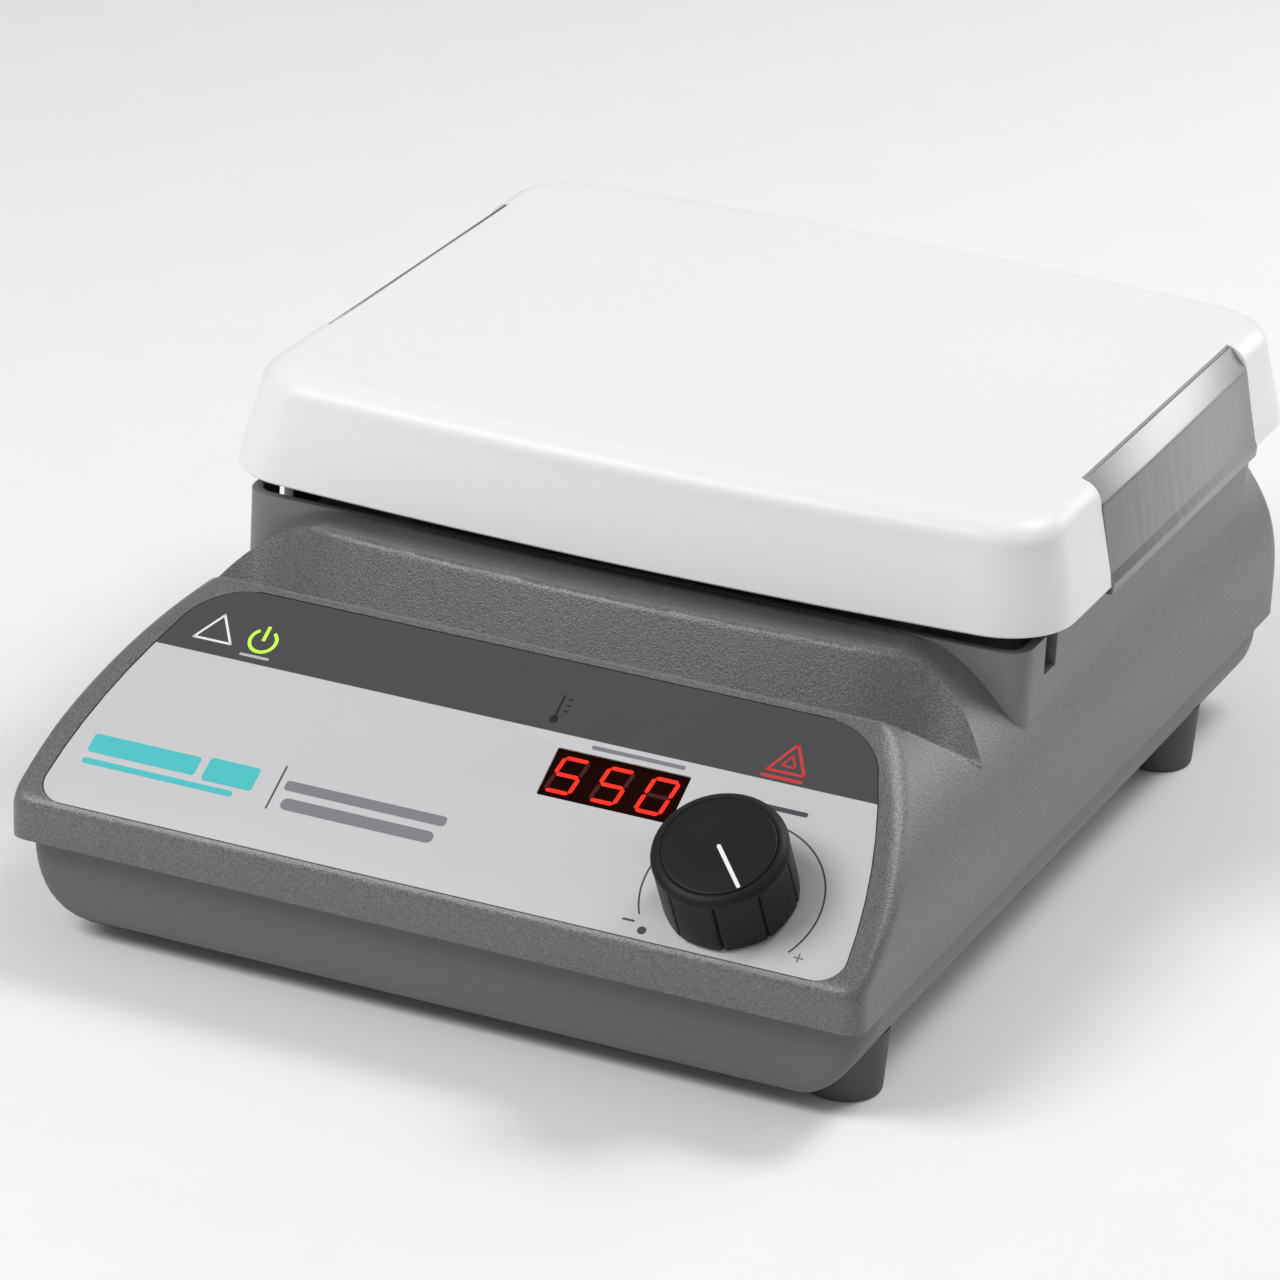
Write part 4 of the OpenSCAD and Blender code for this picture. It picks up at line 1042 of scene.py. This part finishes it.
def pedestal_ring():
    """Smooth grey wall between the deck and the plate, lower in front and notched behind each corner."""
    t = 2.4
    plans = []
    for inset in (0.0, t):
        half = RING_HALF - inset
        front, back, r = RING_FRONT + inset, RING_BACK - inset, 6 - inset
        corners = [(-half, front, r), (half, front, r), (half, back, r), (-half, back, r)]
        plans.append(subdivided(rounded(corners, 8), 2.5))
    count = min(len(p) for p in plans)
    outer = resample(plans[0], count)
    inner = resample(plans[1], count)
    rings = []
    for outline, inset_sign in ((outer, 1), (inner, -1)):
        x = np.array([p[0] for p in outline])
        y = np.array([p[1] for p in outline])
        low, high = np.full(len(x), 41.0), np.full(len(x), RING_TOP - 0.6)
        for _ in range(24):
            middle = (low + high) / 2
            solid = upper_field(x, y, middle) < 0
            low, high = np.where(solid, middle, low), np.where(solid, high, middle)
        foot = [(a, b, c - 0.25) for a, b, c in zip(x, y, low)]
        top = [(a, b, RING_TOP) for a, b in zip(x, y)]
        rings += [foot, top] if inset_sign > 0 else [top, foot]
    wall = loft("ring_wall", rings, closed=True)
    tools = [box("front", -HALF_W, HALF_W, RING_FRONT - 1, -18.6, RING_TOP - 3.5, 90)]
    for side in (-1, 1):
        x0, x1 = sorted((side * (RING_HALF - 5), side * (RING_HALF + 5)))
        tools.append(box("notch", x0, x1, -18.6, -11.4, 63.6, 92))
    combine(wall, tools)
    bevel(wall, 0.35, 2, 50)
    finish_piece(wall, FINISH["ring_plastic"], nodes=["pedestal_ring"])


def subdivided(outline, step):
    """The same outline with its long edges split."""
    points = []
    for (ax, ay), (bx, by) in zip(outline, outline[1:] + outline[:1]):
        parts = max(1, int(math.hypot(bx - ax, by - ay) / step))
        points += [(ax + (bx - ax) * k / parts, ay + (by - ay) * k / parts) for k in range(parts)]
    return points


def resample(outline, count):
    """Evenly spaced points along a closed outline."""
    p = np.array(outline + outline[:1])
    length = np.concatenate([[0], np.cumsum(np.linalg.norm(np.diff(p, axis=0), axis=1))])
    at = np.linspace(0, length[-1], count, endpoint=False)
    return list(zip(np.interp(at, length, p[:, 0]), np.interp(at, length, p[:, 1])))


# ---- the rest --------------------------------------------------------------------------------


def plain_copies():
    """Simpler CAD parts, with their edges rounded."""
    for node, width in (("heat_shield_pan", 0.3), ("mains_inlet", 0.35), ("power_transformer", 0.6),
                        ("triac", 0.25), ("triac_heat_sink", 0.3), ("terminal_block", 0.35),
                        ("control_board", 0.12), ("power_board", 0.12), ("potentiometer", 0.4),
                        ("mica_support", 0.1), ("insulation_pad", 0.8), ("rating_plate", 0.12)):
        soft_copy(node, node + "_finished", width, FINISH[SLOT[node]])
    soft_copy("fuse_drawer", "fuse_drawer_finished", 0.3, FINISH["knob_plastic"], "fuse_drawer")


def stage():
    floor = prism("floor", box_outline(-3000, -3000, 3000, 3000, 400, 8), -12, 0)
    bevel(floor, 3, 3)
    shade(floor)
    floor.data.materials.append(material("floor_paper", (0.86, 0.86, 0.86), 0.7, 2.0, 0.01, 0.01))


def lamp(name, at, target, size, power, colour=(1, 1, 1)):
    light = bpy.data.lights.new(name, "AREA")
    light.shape = "RECTANGLE"
    light.size, light.size_y = size
    light.energy = power
    light.color = colour
    obj = bpy.data.objects.new(name, light)
    scene.collection.objects.link(obj)
    obj.location = at
    obj.rotation_euler = (Vector(target) - Vector(at)).to_track_quat("-Z", "Y").to_euler()
    return obj


def lights():
    world = bpy.data.worlds.new("studio")
    scene.world = world
    world.use_nodes = True
    back = world.node_tree.nodes["Background"]
    back.inputs["Color"].default_value = (1, 1, 1, 1)
    back.inputs["Strength"].default_value = 0.36
    scene.view_settings.view_transform = "Standard"
    lamp("overhead", (0.46, 0.50, 1.10), (0, 0, 0.05), (0.4, 0.4), 6.5)
    lamp("right_rear", (0.62, 1.25, 0.50), (0.05, 0.0, 0.05), (0.8, 0.5), 4.5)
    lamp("front_left", (-0.60, -0.95, 1.10), (0, 0, 0.05), (0.7, 0.6), 13.8)


def camera():
    azimuth, elevation, roll = math.radians(22.52), math.radians(22.94), math.radians(3.18)
    back = Vector((math.sin(azimuth) * math.cos(elevation), -math.cos(azimuth) * math.cos(elevation),
                   math.sin(elevation)))
    right = Vector((math.cos(azimuth), math.sin(azimuth), 0))
    up = back.cross(right)
    turned = math.cos(roll) * right + math.sin(roll) * up
    raised = -math.sin(roll) * right + math.cos(roll) * up
    data = bpy.data.cameras.new("photo_view")
    data.lens = 190.85
    data.sensor_width = 36
    data.clip_start, data.clip_end = 0.05, 30
    obj = bpy.data.objects.new("photo_view", data)
    scene.collection.objects.link(obj)
    place = Matrix((turned, raised, back)).transposed().to_4x4()
    place.translation = Vector((542.21, -1329.63, 651.68)) * MM
    obj.matrix_world = place
    scene.camera = obj


finish_nodes()
upper_shell()
lower_shell()
feet()
label()
panel_ink()
display()
knob()
top_plate()
shields()
pedestal_ring()
plain_copies()
stage()
lights()
camera()
